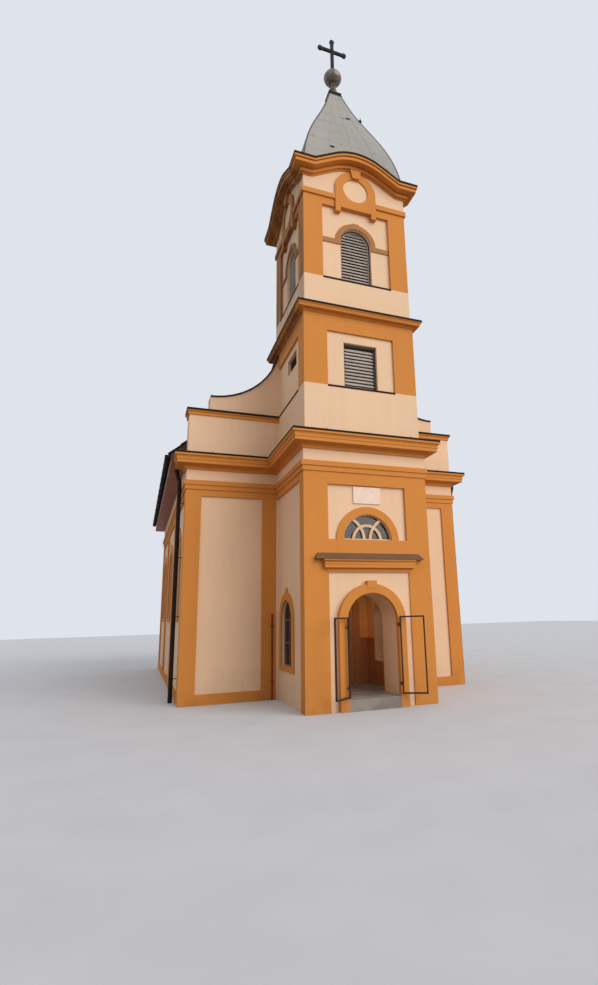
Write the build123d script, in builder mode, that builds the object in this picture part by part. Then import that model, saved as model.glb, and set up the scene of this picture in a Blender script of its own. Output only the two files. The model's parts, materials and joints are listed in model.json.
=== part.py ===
from build123d import *
import os
from math import cos, radians, sin, tan

os.makedirs("parts", exist_ok=True)

# Village church with a front tower. Millimetres, +X right, +Y into the church, +Z up.
# The origin is on the ground in the middle of the tower's front wall.

# Tower plan, each storey set back from the one below
tower_half = 1300
tower_front_wall = 650
tower_side_wall = 500
middle_setback = 50
middle_wall = 400
belfry_setback = 30
belfry_wall = 380

# Nave plan
nave_half = 3260
nave_front = 2110
nave_wall = 500
nave_length = 9690
porch_floor_top = 200
plinth_top = 200

# Lower order, each height measured from the level below it
architrave_bottom = 4350
base_panel_head = 240
nave_panel_head = 138
architrave_height = 196
frieze_height = 238
cornice_height = 336
attic_height = 914
attic_cap_height = 144

# Upper storeys of the tower, each height measured from the level below it
middle_panel_height = 1222
middle_head_height = 357
middle_cornice_height = 165
belfry_pedestal = 748
belfry_panel_height = 1811
belfry_head_height = 309
gable_ear_height = 620
gable_rise = 400

# Bell spire: shares of its half width at its foot, at shares of its height
spire_height = 3648
spire_over = 12
spire_shell = 60
spire_shape = [(1, 0), (0.925, 0.197), (0.805, 0.348), (0.56, 0.57), (0.28, 0.822), (0.166, 0.948), (0.122, 1)]

# Depth of the sunk panels behind the orange frames
base_recess = 55
door_recess = 25
side_recess = 40
nave_recess = 40
middle_recess = 45
belfry_recess = 60

# Widths of the orange strips at the corners
base_corner = 480
door_corner = 475
door_panel_top = 2430
tower_side_strip = 264
nave_pilaster = 325
nave_inner_pilaster = 317
middle_corner = 500
middle_side_corner = 416
belfry_corner = 425

# Entrance arch
door_half = 505
door_spring = 1540
surround_band = 165
surround_proud = 70
key_width = 190
key_rise = 60
key_height = 140
key_proud = 10

# Hood over the entrance
hood_half = 850
hood_height = 355
hood_projection = 130
hood_return = 255
hood_cover_over = 195
hood_flashing_drop = 120

# Lunette and plaque
lunette_radius = 500
lunette_drop = 1305
lunette_band = 150
lunette_proud = 30
lunette_setback = 25
lunette_inner_arc = 288
lunette_bar = 54
lunette_frame = 16
lunette_bar_angle = 54
lunette_bar_foot = 60
window_frame = 40
window_bar = 28
window_bar_depth = 45
glass_thick = 8
plaque_width = 570
plaque_rise = 713
plaque_height = 330
plaque_thick = 25

# Window in each side of the tower
side_window_forward = 760
side_window_half = 395
side_window_sill = 695
side_window_spring = 1585
side_window_band = 150
side_key_half = 70
side_key_rise = 87
sill_drop = 90
window_band_proud = 30
window_setback = 45

# Louvred openings
middle_louvre_half = 375
middle_louvre_height = 1022
louvre_setback = 70
middle_slot_half = 350
middle_slot_forward = 200
middle_slot_rise = 722
middle_slot_height = 350
belfry_louvre_half = 362
belfry_spring_rise = 1020
belfry_band = 114
belfry_band_out = 35
belfry_band_height = 120
belfry_band_proud = 25
belfry_key_half = 82
belfry_key_rise = 20
impost_height = 110
louvre_frame = 40
louvre_depth = 80
blade_pitch = 76
blade_thick = 16
blade_depth = 84
blade_tilt = 50

# Round plaque on the belfry
medallion_rise = 200
medallion_radius = 488
medallion_disc = 298
medallion_proud = 45
medallion_foot_drop = 120
medallion_foot_width = 120
disc_proud = 15
neck_half = 85
neck_sink = 185
neck_proud = 50

# Main cornice, and the smaller ones on the tower
flashing = 50
flashing_lip = 45
cornice_out = 267
hollow_share = 0.33
middle_cornice_out = 157
gable_cornice_out = 271
gable_cornice_drop = 300
gable_slope = 29
gable_radius = 1135
gable_ear_fillet = 150
thin_flashing = 12
lip_over = 8
architrave_out = 45
gable_courses = [(flashing, 100, 261), (100, 114, 218), (114, 186, 234), (186, 200, 66), (200, 270, 84),
                 (270, gable_cornice_drop, 30)]

# Curved gable beside the tower
attic_inset = 10
gable_end_inset = 450
gable_end_rise = 335
gable_sweep = 1600
gable_setback = 40
coping = 30
cap_out = 55
tympanum_depth = 150
sill_flashing_drop = 28

# Nave roof
eave_out = 320
eave_rise = 94
roof_pitch = 42
roof_thick = 120
roof_overhang = 200
soffit_drop = 160
board = 22
gutter_radius = 60
gutter_sheet = 6
gutter_drop = 19
pipe_radius = 45
left_pipe_back = 690
right_pipe_back = 220
pipe_out = 92
pipe_top_out = 165
pipe_bend_drop = 70
pipe_bend_height = 250
conductor_out = 90
conductor_radius = 20
conductor_top = 1720

# Nave windows
nave_window_half = 450
nave_window_sill = 1700
nave_window_spring = 3100
nave_window_count = 3

# Inner doorway
inner_door_half = 450
inner_door_spring = 1800
inner_door_setback = 180
inner_door_thick = 60
wainscot_top = 1160
wainscot_thick = 22

# Gate leaves, as they stand in the photo
leaf_gap = 5
leaf_start = 26
leaf_foot_gap = 35
leaf_top = 1612
leaf_bar = 28
leaf_open_left = 143
leaf_open_right = 150
hinge_inset = 15
hinge_out = 30
hinge_heights = (400, 1440)
arm_half = 12
arm_thick = 10
pin_foot = 60
pin_radius = 9
pin_room = 0.4
knuckle_radius = 17
knuckle_height = 50

# Spire finial, each height measured from the piece below
collar_over = 22
collar_height = 30
neck_radius = 70
ball_rise = 650
ball_radius = 225
ball_sink = 10
cross_height = 1075
cross_arm_rise = 690
cross_arm_half = 405
cross_bar = 84
cross_knob = 66
cross_thick = 50

# Clearance between pieces that meet on a curve
seat = 0.3

# Plan values that follow from the sizes above
middle_half = tower_half - middle_setback
belfry_half = middle_half - belfry_setback
tower_mid_y = tower_half
tower_inner_x = tower_half - tower_side_wall
tower_core_x = tower_half - side_recess
gable_back = tower_mid_y + middle_half
middle_slot_y = tower_mid_y - middle_slot_forward
side_window_y = nave_front - side_window_forward
nave_back = nave_front + nave_length
left_pipe_y = nave_front + left_pipe_back
right_pipe_y = nave_front + right_pipe_back
nave_core_x = nave_half - nave_recess
nave_inner_x = nave_half - nave_wall
nave_back_core = nave_back - nave_recess
nave_back_inner = nave_back - nave_wall
base_panel_half = tower_half - base_corner
door_panel_half = tower_half - door_corner
middle_panel_half = middle_half - middle_corner
middle_side_panel_half = middle_half - middle_side_corner
belfry_panel_half = belfry_half - belfry_corner
hood_cover_half = hood_half + hood_cover_over
attic_half = nave_half - attic_inset
gable_end = nave_half - gable_end_inset
eave_half = nave_half + eave_out
pipe_x = nave_half + pipe_out
pipe_top_x = nave_half + pipe_top_out
conductor_x = tower_half + conductor_out
hinge_x = door_half - hinge_inset
leaf_width = hinge_x - leaf_gap

# Levels that follow from the sizes above
architrave_top = architrave_bottom + architrave_height
cornice_bottom = architrave_top + frieze_height
cornice_top = cornice_bottom + cornice_height
cornice_lip = cornice_top - flashing
attic_cap_bottom = cornice_top + attic_height
attic_top = attic_cap_bottom + attic_cap_height
base_panel_top = architrave_bottom - base_panel_head
nave_panel_top = architrave_bottom - nave_panel_head
hood_bottom = door_panel_top
hood_top = hood_bottom + hood_height
lunette_sill = architrave_bottom - lunette_drop
plaque_bottom = lunette_sill + plaque_rise
middle_sill = attic_top
middle_panel_top = middle_sill + middle_panel_height
middle_louvre_top = middle_sill + middle_louvre_height
middle_slot_bottom = middle_sill + middle_slot_rise
middle_slot_top = middle_slot_bottom + middle_slot_height
middle_cornice_bottom = middle_panel_top + middle_head_height
middle_cornice_top = middle_cornice_bottom + middle_cornice_height
belfry_sill = middle_cornice_top + belfry_pedestal
belfry_spring = belfry_sill + belfry_spring_rise
belfry_panel_top = belfry_sill + belfry_panel_height
belfry_architrave_top = belfry_panel_top + belfry_head_height
medallion_z = belfry_architrave_top + medallion_rise
medallion_foot = belfry_panel_top - medallion_foot_drop
gable_ear_top = belfry_architrave_top + gable_ear_height
spire_foot = gable_ear_top - flashing
spire_top = spire_foot + spire_height
ball_z = spire_top + ball_rise
cross_foot = ball_z + ball_radius
cross_top = cross_foot + cross_height
cross_arm_z = cross_foot + cross_arm_rise
gable_end_top = attic_top + gable_end_rise
eave_top = cornice_top + eave_rise
soffit_z = cornice_top - soffit_drop
gutter_z = eave_top - gutter_drop
leaf_bottom = porch_floor_top + leaf_foot_gap
roof_slope = tan(radians(roof_pitch))
roof_drop = roof_thick / cos(radians(roof_pitch))


def save(builder, label):
    """Label a finished piece and write it."""
    builder.part.label = label
    export_step(builder.part, f"parts/{label}.step")


def box(x0, x1, y0, y1, z0, z1, mode=Mode.ADD):
    """Add a block between two corners to the part being built."""
    middle = ((x0 + x1) / 2, (y0 + y1) / 2, (z0 + z1) / 2)
    with Locations(middle):
        Box(x1 - x0, y1 - y0, z1 - z0, mode=mode)


def slab(x0, x1, y0, y1, mode=Mode.ADD):
    """Add a rectangle between two corners to the sketch being built."""
    with Locations(((x0 + x1) / 2, (y0 + y1) / 2)):
        Rectangle(x1 - x0, y1 - y0, mode=mode)


def arch_outline(half, sill, spring, mode=Mode.ADD):
    """Fill a round-headed opening in the sketch being built."""
    slab(-half, half, sill, spring, mode)
    with Locations((0, spring)):
        Circle(half, mode=mode)


def front_plane(y):
    """Upright plane facing the street: sketch x is +X and sketch y is +Z."""
    return Plane(origin=(0, y, 0), x_dir=(1, 0, 0), z_dir=(0, -1, 0))


def right_plane(x, y):
    """Upright plane facing right: sketch x runs back from y."""
    return Plane(origin=(x, y, 0), x_dir=(0, 1, 0), z_dir=(1, 0, 0))


def square_block(half, z0, z1, mode=Mode.ADD):
    """Add a square block centred on the tower's axis."""
    box(-half, half, tower_mid_y - half, tower_mid_y + half, z0, z1, mode)


def quarter_turns(piece):
    """A solid and its three copies turned about the tower's axis."""
    axis = Axis((0, tower_mid_y, 0), (0, 0, 1))
    return [piece] + [piece.rotate(axis, turn) for turn in (90, 180, 270)]


def gable_corners(shift=0):
    """Points of the belfry gable's line from its left end to its right one, moved up by a shift."""
    slope = radians(gable_slope)
    head_x = gable_radius * sin(slope)
    head_top = gable_ear_top + gable_rise + shift
    head_z = head_top - gable_radius * (1 - cos(slope))
    ear_x = head_x + (head_z - gable_ear_top - shift) / tan(slope)
    return head_x, head_z, head_top, ear_x, gable_ear_top + shift


def gable_line(end_x, shift=0):
    """Draw the gable's line: flat ears, straight slopes and a round head."""
    head_x, head_z, head_top, ear_x, ear_z = gable_corners(shift)
    slope = radians(gable_slope)
    tail = gable_ear_fillet * tan(slope / 2)
    up = (tail * cos(slope), tail * sin(slope))
    left_start = (-ear_x - tail, ear_z)
    left_end = (-ear_x + up[0], ear_z + up[1])
    right_start = (ear_x - up[0], ear_z + up[1])
    right_end = (ear_x + tail, ear_z)
    Line((-end_x, ear_z), left_start)
    TangentArc(left_start, left_end, tangent=(1, 0))
    Line(left_end, (-head_x, head_z))
    ThreePointArc((-head_x, head_z), (0, head_top), (head_x, head_z))
    Line((head_x, head_z), right_start)
    TangentArc(right_start, right_end, tangent=(cos(slope), -sin(slope)))
    Line(right_end, (end_x, ear_z))


def moulded_edge(half, out, z0, z1, side=1):
    """Draw a cornice's edge from its foot to its lip, out from a wall at the given half width."""
    rise = z1 - z0
    foot = (side * (half + 0.12 * out), z0)
    fillet_top = (side * (half + 0.12 * out), z0 + 0.12 * rise)
    hollow_top = (side * (half + 0.34 * out), z0 + hollow_share * rise)
    fascia_foot = (side * (half + 0.8 * out), z0 + hollow_share * rise)
    fascia_top = (side * (half + 0.8 * out), z0 + 0.58 * rise)
    curve_foot = (side * (half + 0.85 * out), z0 + 0.58 * rise)
    curve_top = (side * (half + 0.96 * out), z0 + 0.88 * rise)
    lip = (side * (half + out), z0 + 0.88 * rise)
    Polyline((side * half, z0), foot, fillet_top)
    SagittaArc(fillet_top, hollow_top, side * 0.05 * rise)
    Polyline(hollow_top, fascia_foot, fascia_top, curve_foot)
    SagittaArc(curve_foot, curve_top, side * 0.06 * rise)
    Line(curve_top, lip)
    Line(lip, (lip[0], z1))


# Lower walls of the tower: two piers beside the door, then the wall above them
with BuildPart() as front_piers:
    for side in (-1, 1):
        near, far = sorted((side * door_half, side * tower_core_x))
        box(near, far, base_recess, tower_front_wall, 0, door_spring)
        near, far = sorted((side * door_half, side * door_panel_half))
        box(near, far, door_recess, base_recess, 0, door_spring)
save(front_piers, "tower_front_piers")

with BuildPart() as front_wall:
    box(-tower_core_x, tower_core_x, base_recess, tower_front_wall, door_spring, architrave_bottom)
    box(-door_panel_half, door_panel_half, door_recess, base_recess, door_spring, door_panel_top)
    box(-tower_half, tower_half, 0, tower_front_wall, architrave_bottom, cornice_top)
    with BuildSketch(front_plane(0)):
        with Locations((0, door_spring)):
            Circle(door_half)
        with Locations((0, lunette_sill)):
            Circle(lunette_radius)
        slab(-lunette_radius, lunette_radius, lunette_sill - lunette_radius, lunette_sill, Mode.SUBTRACT)
    extrude(amount=-tower_front_wall, mode=Mode.SUBTRACT)
save(front_wall, "tower_front_wall")

with BuildPart() as tower_sides:
    for side in (-1, 1):
        near, far = sorted((side * tower_inner_x, side * tower_core_x))
        box(near, far, tower_front_wall, nave_front, 0, architrave_bottom)
        near, far = sorted((side * tower_inner_x, side * tower_half))
        box(near, far, tower_front_wall, nave_front, architrave_bottom, cornice_top)
    with BuildSketch(right_plane(0, side_window_y)):
        arch_outline(side_window_half, side_window_sill, side_window_spring)
    extrude(amount=2 * tower_half, both=True, mode=Mode.SUBTRACT)
save(tower_sides, "tower_side_walls")

# Orange frame on the lower front: corner strips, the band between the panels and the head
with BuildPart() as base_frame:
    with BuildSketch(front_plane(0)):
        slab(-tower_half, tower_half, 0, architrave_bottom)
        slab(-door_panel_half, door_panel_half, 0, door_panel_top, Mode.SUBTRACT)
        slab(-base_panel_half, base_panel_half, lunette_sill, base_panel_top, Mode.SUBTRACT)
    extrude(amount=-base_recess)
    for side in (-1, 1):
        near, far = sorted((side * tower_core_x, side * tower_half))
        box(near, far, base_recess, tower_side_strip, 0, architrave_bottom)
        box(near, far, tower_side_strip, nave_front, nave_panel_top, architrave_bottom)
save(base_frame, "tower_base_frame")

# Band and keystone round the entrance
with BuildPart() as door_surround:
    with BuildSketch(front_plane(door_recess)):
        arch_outline(door_half + surround_band, 0, door_spring)
        arch_outline(door_half, 0, door_spring, Mode.SUBTRACT)
    extrude(amount=door_recess + surround_proud)
    key_top = door_spring + door_half + surround_band + key_rise
    key_bottom = key_top - key_height
    box(-key_width / 2, key_width / 2, -surround_proud - key_proud, door_recess, key_bottom, key_top)
save(door_surround, "door_surround")

# Hood over the entrance, its moulding mitred by crossing a front and a side outline
hood_lip = hood_top - hood_flashing_drop
with BuildPart() as hood:
    with BuildSketch(front_plane(0)):
        with BuildLine():
            moulded_edge(hood_half, hood_return, hood_bottom, hood_lip)
            moulded_edge(hood_half, hood_return, hood_bottom, hood_lip, -1)
            Line((-hood_half, hood_bottom), (hood_half, hood_bottom))
            Line((-hood_half - hood_return, hood_lip), (hood_half + hood_return, hood_lip))
        make_face()
    extrude(amount=hood_projection)
    with BuildSketch(right_plane(-hood_half - hood_return, 0)):
        with BuildLine():
            moulded_edge(0, hood_projection, hood_bottom, hood_lip, -1)
            Polyline((0, hood_bottom), (0, hood_lip), (-hood_projection, hood_lip))
        make_face()
    extrude(amount=2 * (hood_half + hood_return), mode=Mode.INTERSECT)
save(hood, "door_hood")

# Sheet metal that sheds rain off the hood
with BuildPart() as hood_cover:
    with BuildSketch(Plane.XY.offset(hood_lip)):
        slab(-hood_half - hood_return, hood_half + hood_return, -hood_projection, 0)
    with BuildSketch(Plane.XY.offset(hood_top)):
        slab(-hood_cover_half, hood_cover_half, -thin_flashing, 0)
    loft()
save(hood_cover, "door_hood_cover")

# Half-round window over the door, its band and the tablet above it
with BuildPart() as lunette_surround:
    with BuildSketch(front_plane(base_recess)):
        with Locations((0, lunette_sill)):
            Circle(lunette_radius + lunette_band)
            Circle(lunette_radius, mode=Mode.SUBTRACT)
        outer = lunette_radius + lunette_band
        slab(-outer, outer, lunette_sill - outer, lunette_sill, Mode.SUBTRACT)
    extrude(amount=lunette_proud)

lunette_plane_y = base_recess + lunette_setback
with BuildPart() as lunette_window:
    with BuildSketch(front_plane(lunette_plane_y + window_bar_depth)):
        with Locations((0, lunette_sill)):
            Circle(lunette_radius - seat)
            Circle(lunette_radius - lunette_frame, mode=Mode.SUBTRACT)
            Circle(lunette_inner_arc + lunette_bar / 2)
            Circle(lunette_inner_arc - lunette_bar / 2, mode=Mode.SUBTRACT)
        for side in (-1, 1):
            with BuildLine():
                reach = lunette_radius - lunette_frame / 2
                rim = (side * reach * cos(radians(lunette_bar_angle)),
                       lunette_sill + reach * sin(radians(lunette_bar_angle)))
                TangentArc((side * lunette_bar_foot, lunette_sill), rim, tangent=(0, 1))
            trace(line_width=lunette_bar)
        slab(-lunette_radius, lunette_radius, lunette_sill - lunette_radius, lunette_sill, Mode.SUBTRACT)
        slab(-lunette_radius + lunette_frame, lunette_radius - lunette_frame,
             lunette_sill, lunette_sill + window_bar)
        with Locations((0, lunette_sill)):
            Circle(lunette_radius - seat, mode=Mode.INTERSECT)
    extrude(amount=window_bar_depth)

with BuildPart() as lunette_glass:
    with BuildSketch(front_plane(lunette_plane_y + window_bar_depth + glass_thick)):
        with Locations((0, lunette_sill)):
            Circle(lunette_radius - lunette_frame / 2)
        slab(-lunette_radius, lunette_radius, lunette_sill - lunette_radius, lunette_sill, Mode.SUBTRACT)
    extrude(amount=glass_thick)

with BuildPart() as plaque:
    box(-plaque_width / 2, plaque_width / 2, base_recess - plaque_thick, base_recess,
        plaque_bottom, plaque_bottom + plaque_height)
save(plaque, "marble_plaque")

# Plan line that the mouldings follow, round the nave's sides, its front and the tower
front_line = [(-nave_half, nave_front), (-tower_half, nave_front), (-tower_half, 0),
              (tower_half, 0), (tower_half, nave_front), (nave_half, nave_front)]


def course_path(back):
    """The plan line with returns that run back along the nave's sides."""
    return [(-nave_half, back)] + front_line + [(nave_half, back)]


def course_plane(back):
    """Section plane at the start of a course: sketch x points out from the wall."""
    return Plane(origin=(-nave_half, back, 0), x_dir=(-1, 0, 0), z_dir=(0, 1, 0))


# Architrave, a stepped band under the cream frieze
with BuildPart() as architrave:
    with BuildLine() as architrave_line:
        Polyline(course_path(nave_back))
    with BuildSketch(course_plane(nave_back)):
        middle = (architrave_bottom + architrave_top) / 2
        slab(0, architrave_out / 2, architrave_bottom, middle)
        slab(0, architrave_out, middle, architrave_top)
    sweep(path=architrave_line.wires()[0], transition=Transition.RIGHT)
save(architrave, "main_architrave")

# Main cornice, one moulding swept round tower and nave front with mitred corners
with BuildPart() as main_cornice:
    with BuildLine() as cornice_line:
        Polyline(course_path(gable_back))
    with BuildSketch(course_plane(gable_back)):
        with BuildLine():
            moulded_edge(0, cornice_out, cornice_bottom, cornice_lip)
            Polyline((0, cornice_bottom), (0, cornice_lip), (cornice_out, cornice_lip))
        make_face()
    sweep(path=cornice_line.wires()[0], transition=Transition.RIGHT)
save(main_cornice, "main_cornice")

with BuildPart() as main_flashing:
    with BuildLine() as flashing_line:
        Polyline(course_path(gable_back))
    with BuildSketch(course_plane(gable_back)):
        with BuildLine():
            Polyline((0, cornice_lip), (cornice_out, cornice_lip),
                     (cornice_out, cornice_lip + flashing_lip), (0, cornice_top), close=True)
        make_face()
    sweep(path=flashing_line.wires()[0], transition=Transition.RIGHT)

# Middle storey of the tower, a square tube with sunk panels and its openings cut through
with BuildPart() as middle_walls:
    square_block(middle_half, cornice_top, middle_sill)
    square_block(middle_half - middle_recess, middle_sill, middle_panel_top)
    square_block(middle_half - middle_recess, middle_panel_top, middle_cornice_bottom)
    square_block(middle_half, middle_cornice_bottom, middle_cornice_top)
    square_block(middle_half - middle_wall, cornice_top, middle_cornice_top, Mode.SUBTRACT)
    box(-middle_louvre_half, middle_louvre_half, 0, tower_mid_y, middle_sill, middle_louvre_top,
        Mode.SUBTRACT)
    box(-middle_half, middle_half, middle_slot_y - middle_slot_half, middle_slot_y + middle_slot_half,
        middle_slot_bottom, middle_slot_top, Mode.SUBTRACT)
save(middle_walls, "middle_storey_walls")

with BuildPart() as middle_frame:
    square_block(middle_half, middle_sill, middle_cornice_bottom)
    square_block(middle_half - middle_recess, middle_sill, middle_cornice_bottom, Mode.SUBTRACT)
    box(-middle_panel_half, middle_panel_half, tower_mid_y - middle_half, tower_mid_y + middle_half,
        middle_sill, middle_panel_top, Mode.SUBTRACT)
    box(-middle_half, middle_half, tower_mid_y - middle_side_panel_half,
        tower_mid_y + middle_side_panel_half, middle_sill, middle_panel_top, Mode.SUBTRACT)
save(middle_frame, "middle_storey_frame")

middle_lip = middle_cornice_top - flashing_lip
with BuildPart() as middle_cornice:
    with BuildSketch(front_plane(tower_mid_y)):
        with BuildLine():
            moulded_edge(middle_half, middle_cornice_out, middle_cornice_bottom, middle_lip)
            moulded_edge(middle_half, middle_cornice_out, middle_cornice_bottom, middle_lip, -1)
            Line((-middle_half, middle_cornice_bottom), (middle_half, middle_cornice_bottom))
            Line((-middle_half - middle_cornice_out, middle_lip),
                 (middle_half + middle_cornice_out, middle_lip))
        make_face()
    extrude(amount=middle_half + middle_cornice_out, both=True)
    with BuildSketch(right_plane(0, tower_mid_y)):
        with BuildLine():
            moulded_edge(middle_half, middle_cornice_out, middle_cornice_bottom, middle_lip)
            moulded_edge(middle_half, middle_cornice_out, middle_cornice_bottom, middle_lip, -1)
            Line((-middle_half, middle_cornice_bottom), (middle_half, middle_cornice_bottom))
            Line((-middle_half - middle_cornice_out, middle_lip),
                 (middle_half + middle_cornice_out, middle_lip))
        make_face()
    extrude(amount=middle_half + middle_cornice_out, both=True, mode=Mode.INTERSECT)
    square_block(middle_half, middle_cornice_bottom, middle_lip, Mode.SUBTRACT)
save(middle_cornice, "middle_cornice")

with BuildPart() as middle_flashing:
    square_block(middle_half + middle_cornice_out + lip_over, middle_lip, middle_cornice_top)
    square_block(middle_half, middle_lip, middle_cornice_top, Mode.SUBTRACT)


# Belfry: a pedestal, sunk panels with round-headed openings, and a curved gable on each side
belfry_face_y = tower_mid_y - belfry_half
belfry_core = belfry_half - belfry_recess
gable_end_x = belfry_half + gable_cornice_out

# Curved gable cornice: courses stepped out from the wall along the gable's line, mitred on the four corners
with BuildPart() as wedge:
    with BuildSketch(Plane.XY.offset(belfry_panel_top)):
        reach = 2 * gable_end_x
        with BuildLine():
            Polyline((0, tower_mid_y), (-reach, tower_mid_y - reach), (reach, tower_mid_y - reach),
                     close=True)
        make_face()
    extrude(amount=2 * (gable_ear_top - belfry_panel_top))


def gable_course(top, foot, inner, out):
    """A course between two heights of the gable's line, from inside the wall's face to outside it."""
    with BuildPart() as course:
        with BuildSketch(front_plane(belfry_face_y + inner)):
            with BuildLine():
                gable_line(gable_end_x, -top)
                gable_line(gable_end_x, -foot)
                for side in (-1, 1):
                    Line((side * gable_end_x, gable_ear_top - top), (side * gable_end_x, gable_ear_top - foot))
            make_face()
        extrude(amount=inner + out)
    return course.part


with BuildPart() as gable_cornice_side:
    for top, foot, out in gable_courses:
        add(gable_course(top, foot, 0, out))
    add(wedge.part, mode=Mode.INTERSECT)
with BuildPart() as gable_cornice:
    add(quarter_turns(gable_cornice_side.part))
save(gable_cornice, "gable_cornice")

with BuildPart() as gable_flashing_side:
    add(gable_course(0, flashing, tympanum_depth, gable_cornice_out))
    add(wedge.part, mode=Mode.INTERSECT)
with BuildPart() as gable_flashing:
    add(quarter_turns(gable_flashing_side.part))

with BuildPart() as tympanum:
    with BuildSketch(front_plane(belfry_face_y)):
        with BuildLine():
            gable_line(belfry_half, -flashing)
            Polyline((belfry_half, gable_ear_top - flashing), (belfry_half, belfry_architrave_top),
                     (-belfry_half, belfry_architrave_top), (-belfry_half, gable_ear_top - flashing))
        make_face()
    extrude(amount=-tympanum_depth)

with BuildPart() as medallion_disc_plate:
    with BuildSketch(front_plane(belfry_face_y + disc_proud)):
        with Locations((0, medallion_z)):
            Circle(medallion_disc - seat)
    extrude(amount=2 * disc_proud)

with BuildPart() as belfry_walls:
    square_block(belfry_half, middle_cornice_top, belfry_sill)
    square_block(belfry_core, belfry_sill, belfry_architrave_top)
    square_block(belfry_half, belfry_architrave_top, gable_ear_top - flashing)
    add(quarter_turns(tympanum.part))
    add(quarter_turns(medallion_disc_plate.part))
    square_block(belfry_half - belfry_wall, middle_cornice_top, gable_ear_top + gable_rise, Mode.SUBTRACT)
    for plane in (front_plane(tower_mid_y), right_plane(0, tower_mid_y)):
        with BuildSketch(plane):
            arch_outline(belfry_louvre_half, belfry_sill, belfry_spring)
        extrude(amount=belfry_half, both=True, mode=Mode.SUBTRACT)
save(belfry_walls, "belfry_walls")

with BuildPart() as belfry_frame:
    square_block(belfry_half, belfry_sill, belfry_architrave_top)
    square_block(belfry_half + belfry_band_out, belfry_architrave_top - belfry_band_height,
                 belfry_architrave_top)
    square_block(belfry_core, belfry_sill, belfry_architrave_top, Mode.SUBTRACT)
    for plane in (front_plane(tower_mid_y), right_plane(0, tower_mid_y)):
        with BuildSketch(plane):
            slab(-belfry_panel_half, belfry_panel_half, belfry_sill, belfry_panel_top)
        extrude(amount=belfry_half, both=True, mode=Mode.SUBTRACT)
        with BuildSketch(plane):
            with Locations((0, medallion_z)):
                Circle(medallion_radius)
            slab(-medallion_radius, medallion_radius, belfry_panel_top, medallion_z)
        extrude(amount=belfry_half + belfry_band_out, both=True, mode=Mode.SUBTRACT)
save(belfry_frame, "belfry_frame")

# Round-headed plate with two feet on each belfry face, its disc left bare
with BuildPart() as medallion:
    with BuildSketch(front_plane(tower_mid_y - belfry_core)):
        with Locations((0, medallion_z)):
            Circle(medallion_radius)
        slab(-medallion_radius, medallion_radius, belfry_panel_top, medallion_z)
        for side in (-1, 1):
            near, far = sorted((side * medallion_radius, side * (medallion_radius - medallion_foot_width)))
            slab(near, far, medallion_foot, medallion_z)
    extrude(amount=belfry_recess + medallion_proud)
    square_block(belfry_half, belfry_architrave_top, gable_ear_top + gable_rise, Mode.SUBTRACT)
    with BuildSketch(front_plane(belfry_face_y)):
        with BuildLine():
            neck_top = gable_ear_top + gable_rise - gable_cornice_drop
            neck_bottom = medallion_z + medallion_radius - neck_sink
            Polyline((-neck_half, neck_bottom), (neck_half, neck_bottom),
                     (1.5 * neck_half, neck_top), (-1.5 * neck_half, neck_top), close=True)
        make_face()
    extrude(amount=medallion_proud + neck_proud)
    add(gable_cornice_side.part, mode=Mode.SUBTRACT)
    with BuildSketch(front_plane(belfry_face_y)):
        with Locations((0, medallion_z)):
            Circle(medallion_disc)
    extrude(amount=medallion_proud + neck_proud, mode=Mode.SUBTRACT)
    with BuildSketch(front_plane(tower_mid_y - belfry_core)):
        with Locations((0, medallion_z)):
            Circle(medallion_disc)
    extrude(amount=belfry_recess, mode=Mode.SUBTRACT)
with BuildPart() as medallions:
    add(quarter_turns(medallion.part))
save(medallions, "belfry_medallions")

# Impost bands, round heads and keystones of the belfry openings
with BuildPart() as belfry_surround:
    with BuildSketch(front_plane(tower_mid_y - belfry_core)):
        with Locations((0, belfry_spring)):
            Circle(belfry_louvre_half + belfry_band)
        outer = belfry_louvre_half + belfry_band
        slab(-outer, outer, belfry_spring - outer, belfry_spring, Mode.SUBTRACT)
        slab(-belfry_panel_half, belfry_panel_half, belfry_spring - impost_height, belfry_spring)
        slab(-belfry_key_half, belfry_key_half, belfry_spring + belfry_louvre_half,
             belfry_spring + outer + belfry_key_rise)
        arch_outline(belfry_louvre_half, belfry_sill, belfry_spring, Mode.SUBTRACT)
    extrude(amount=belfry_band_proud)
with BuildPart() as belfry_surrounds:
    add(quarter_turns(belfry_surround.part))
save(belfry_surrounds, "belfry_surrounds")


def louvre(half, sill, spring, top, plane):
    """A framed set of sloping blades that fills an opening, with a round head if it has a spring."""
    with BuildPart() as blades:
        with BuildSketch(Plane.YZ.offset(-half)):
            count = int((top - sill - louvre_frame) / blade_pitch)
            for number in range(count):
                height = sill + louvre_frame + (number + 0.5) * blade_pitch
                with Locations((plane + louvre_depth / 2, height)):
                    Rectangle(blade_depth, blade_thick, rotation=blade_tilt)
        extrude(amount=2 * half)
        with BuildSketch(front_plane(plane)):
            if spring < top:
                arch_outline(half - seat, sill, spring)
            else:
                slab(-half, half, sill, top)
        extrude(amount=-2 * louvre_depth, mode=Mode.INTERSECT)
        with BuildSketch(front_plane(plane)):
            if spring < top:
                arch_outline(half - seat, sill, spring)
                arch_outline(half - louvre_frame, sill + louvre_frame, spring, Mode.SUBTRACT)
            else:
                slab(-half, half, sill, top)
                slab(-half + louvre_frame, half - louvre_frame, sill + louvre_frame,
                     top - louvre_frame, Mode.SUBTRACT)
        extrude(amount=-louvre_depth)
    return blades.part


middle_louvre_y = tower_mid_y - middle_half + middle_recess + louvre_setback
with BuildPart() as middle_louvres:
    add(louvre(middle_louvre_half, middle_sill, middle_louvre_top, middle_louvre_top, middle_louvre_y))

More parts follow.
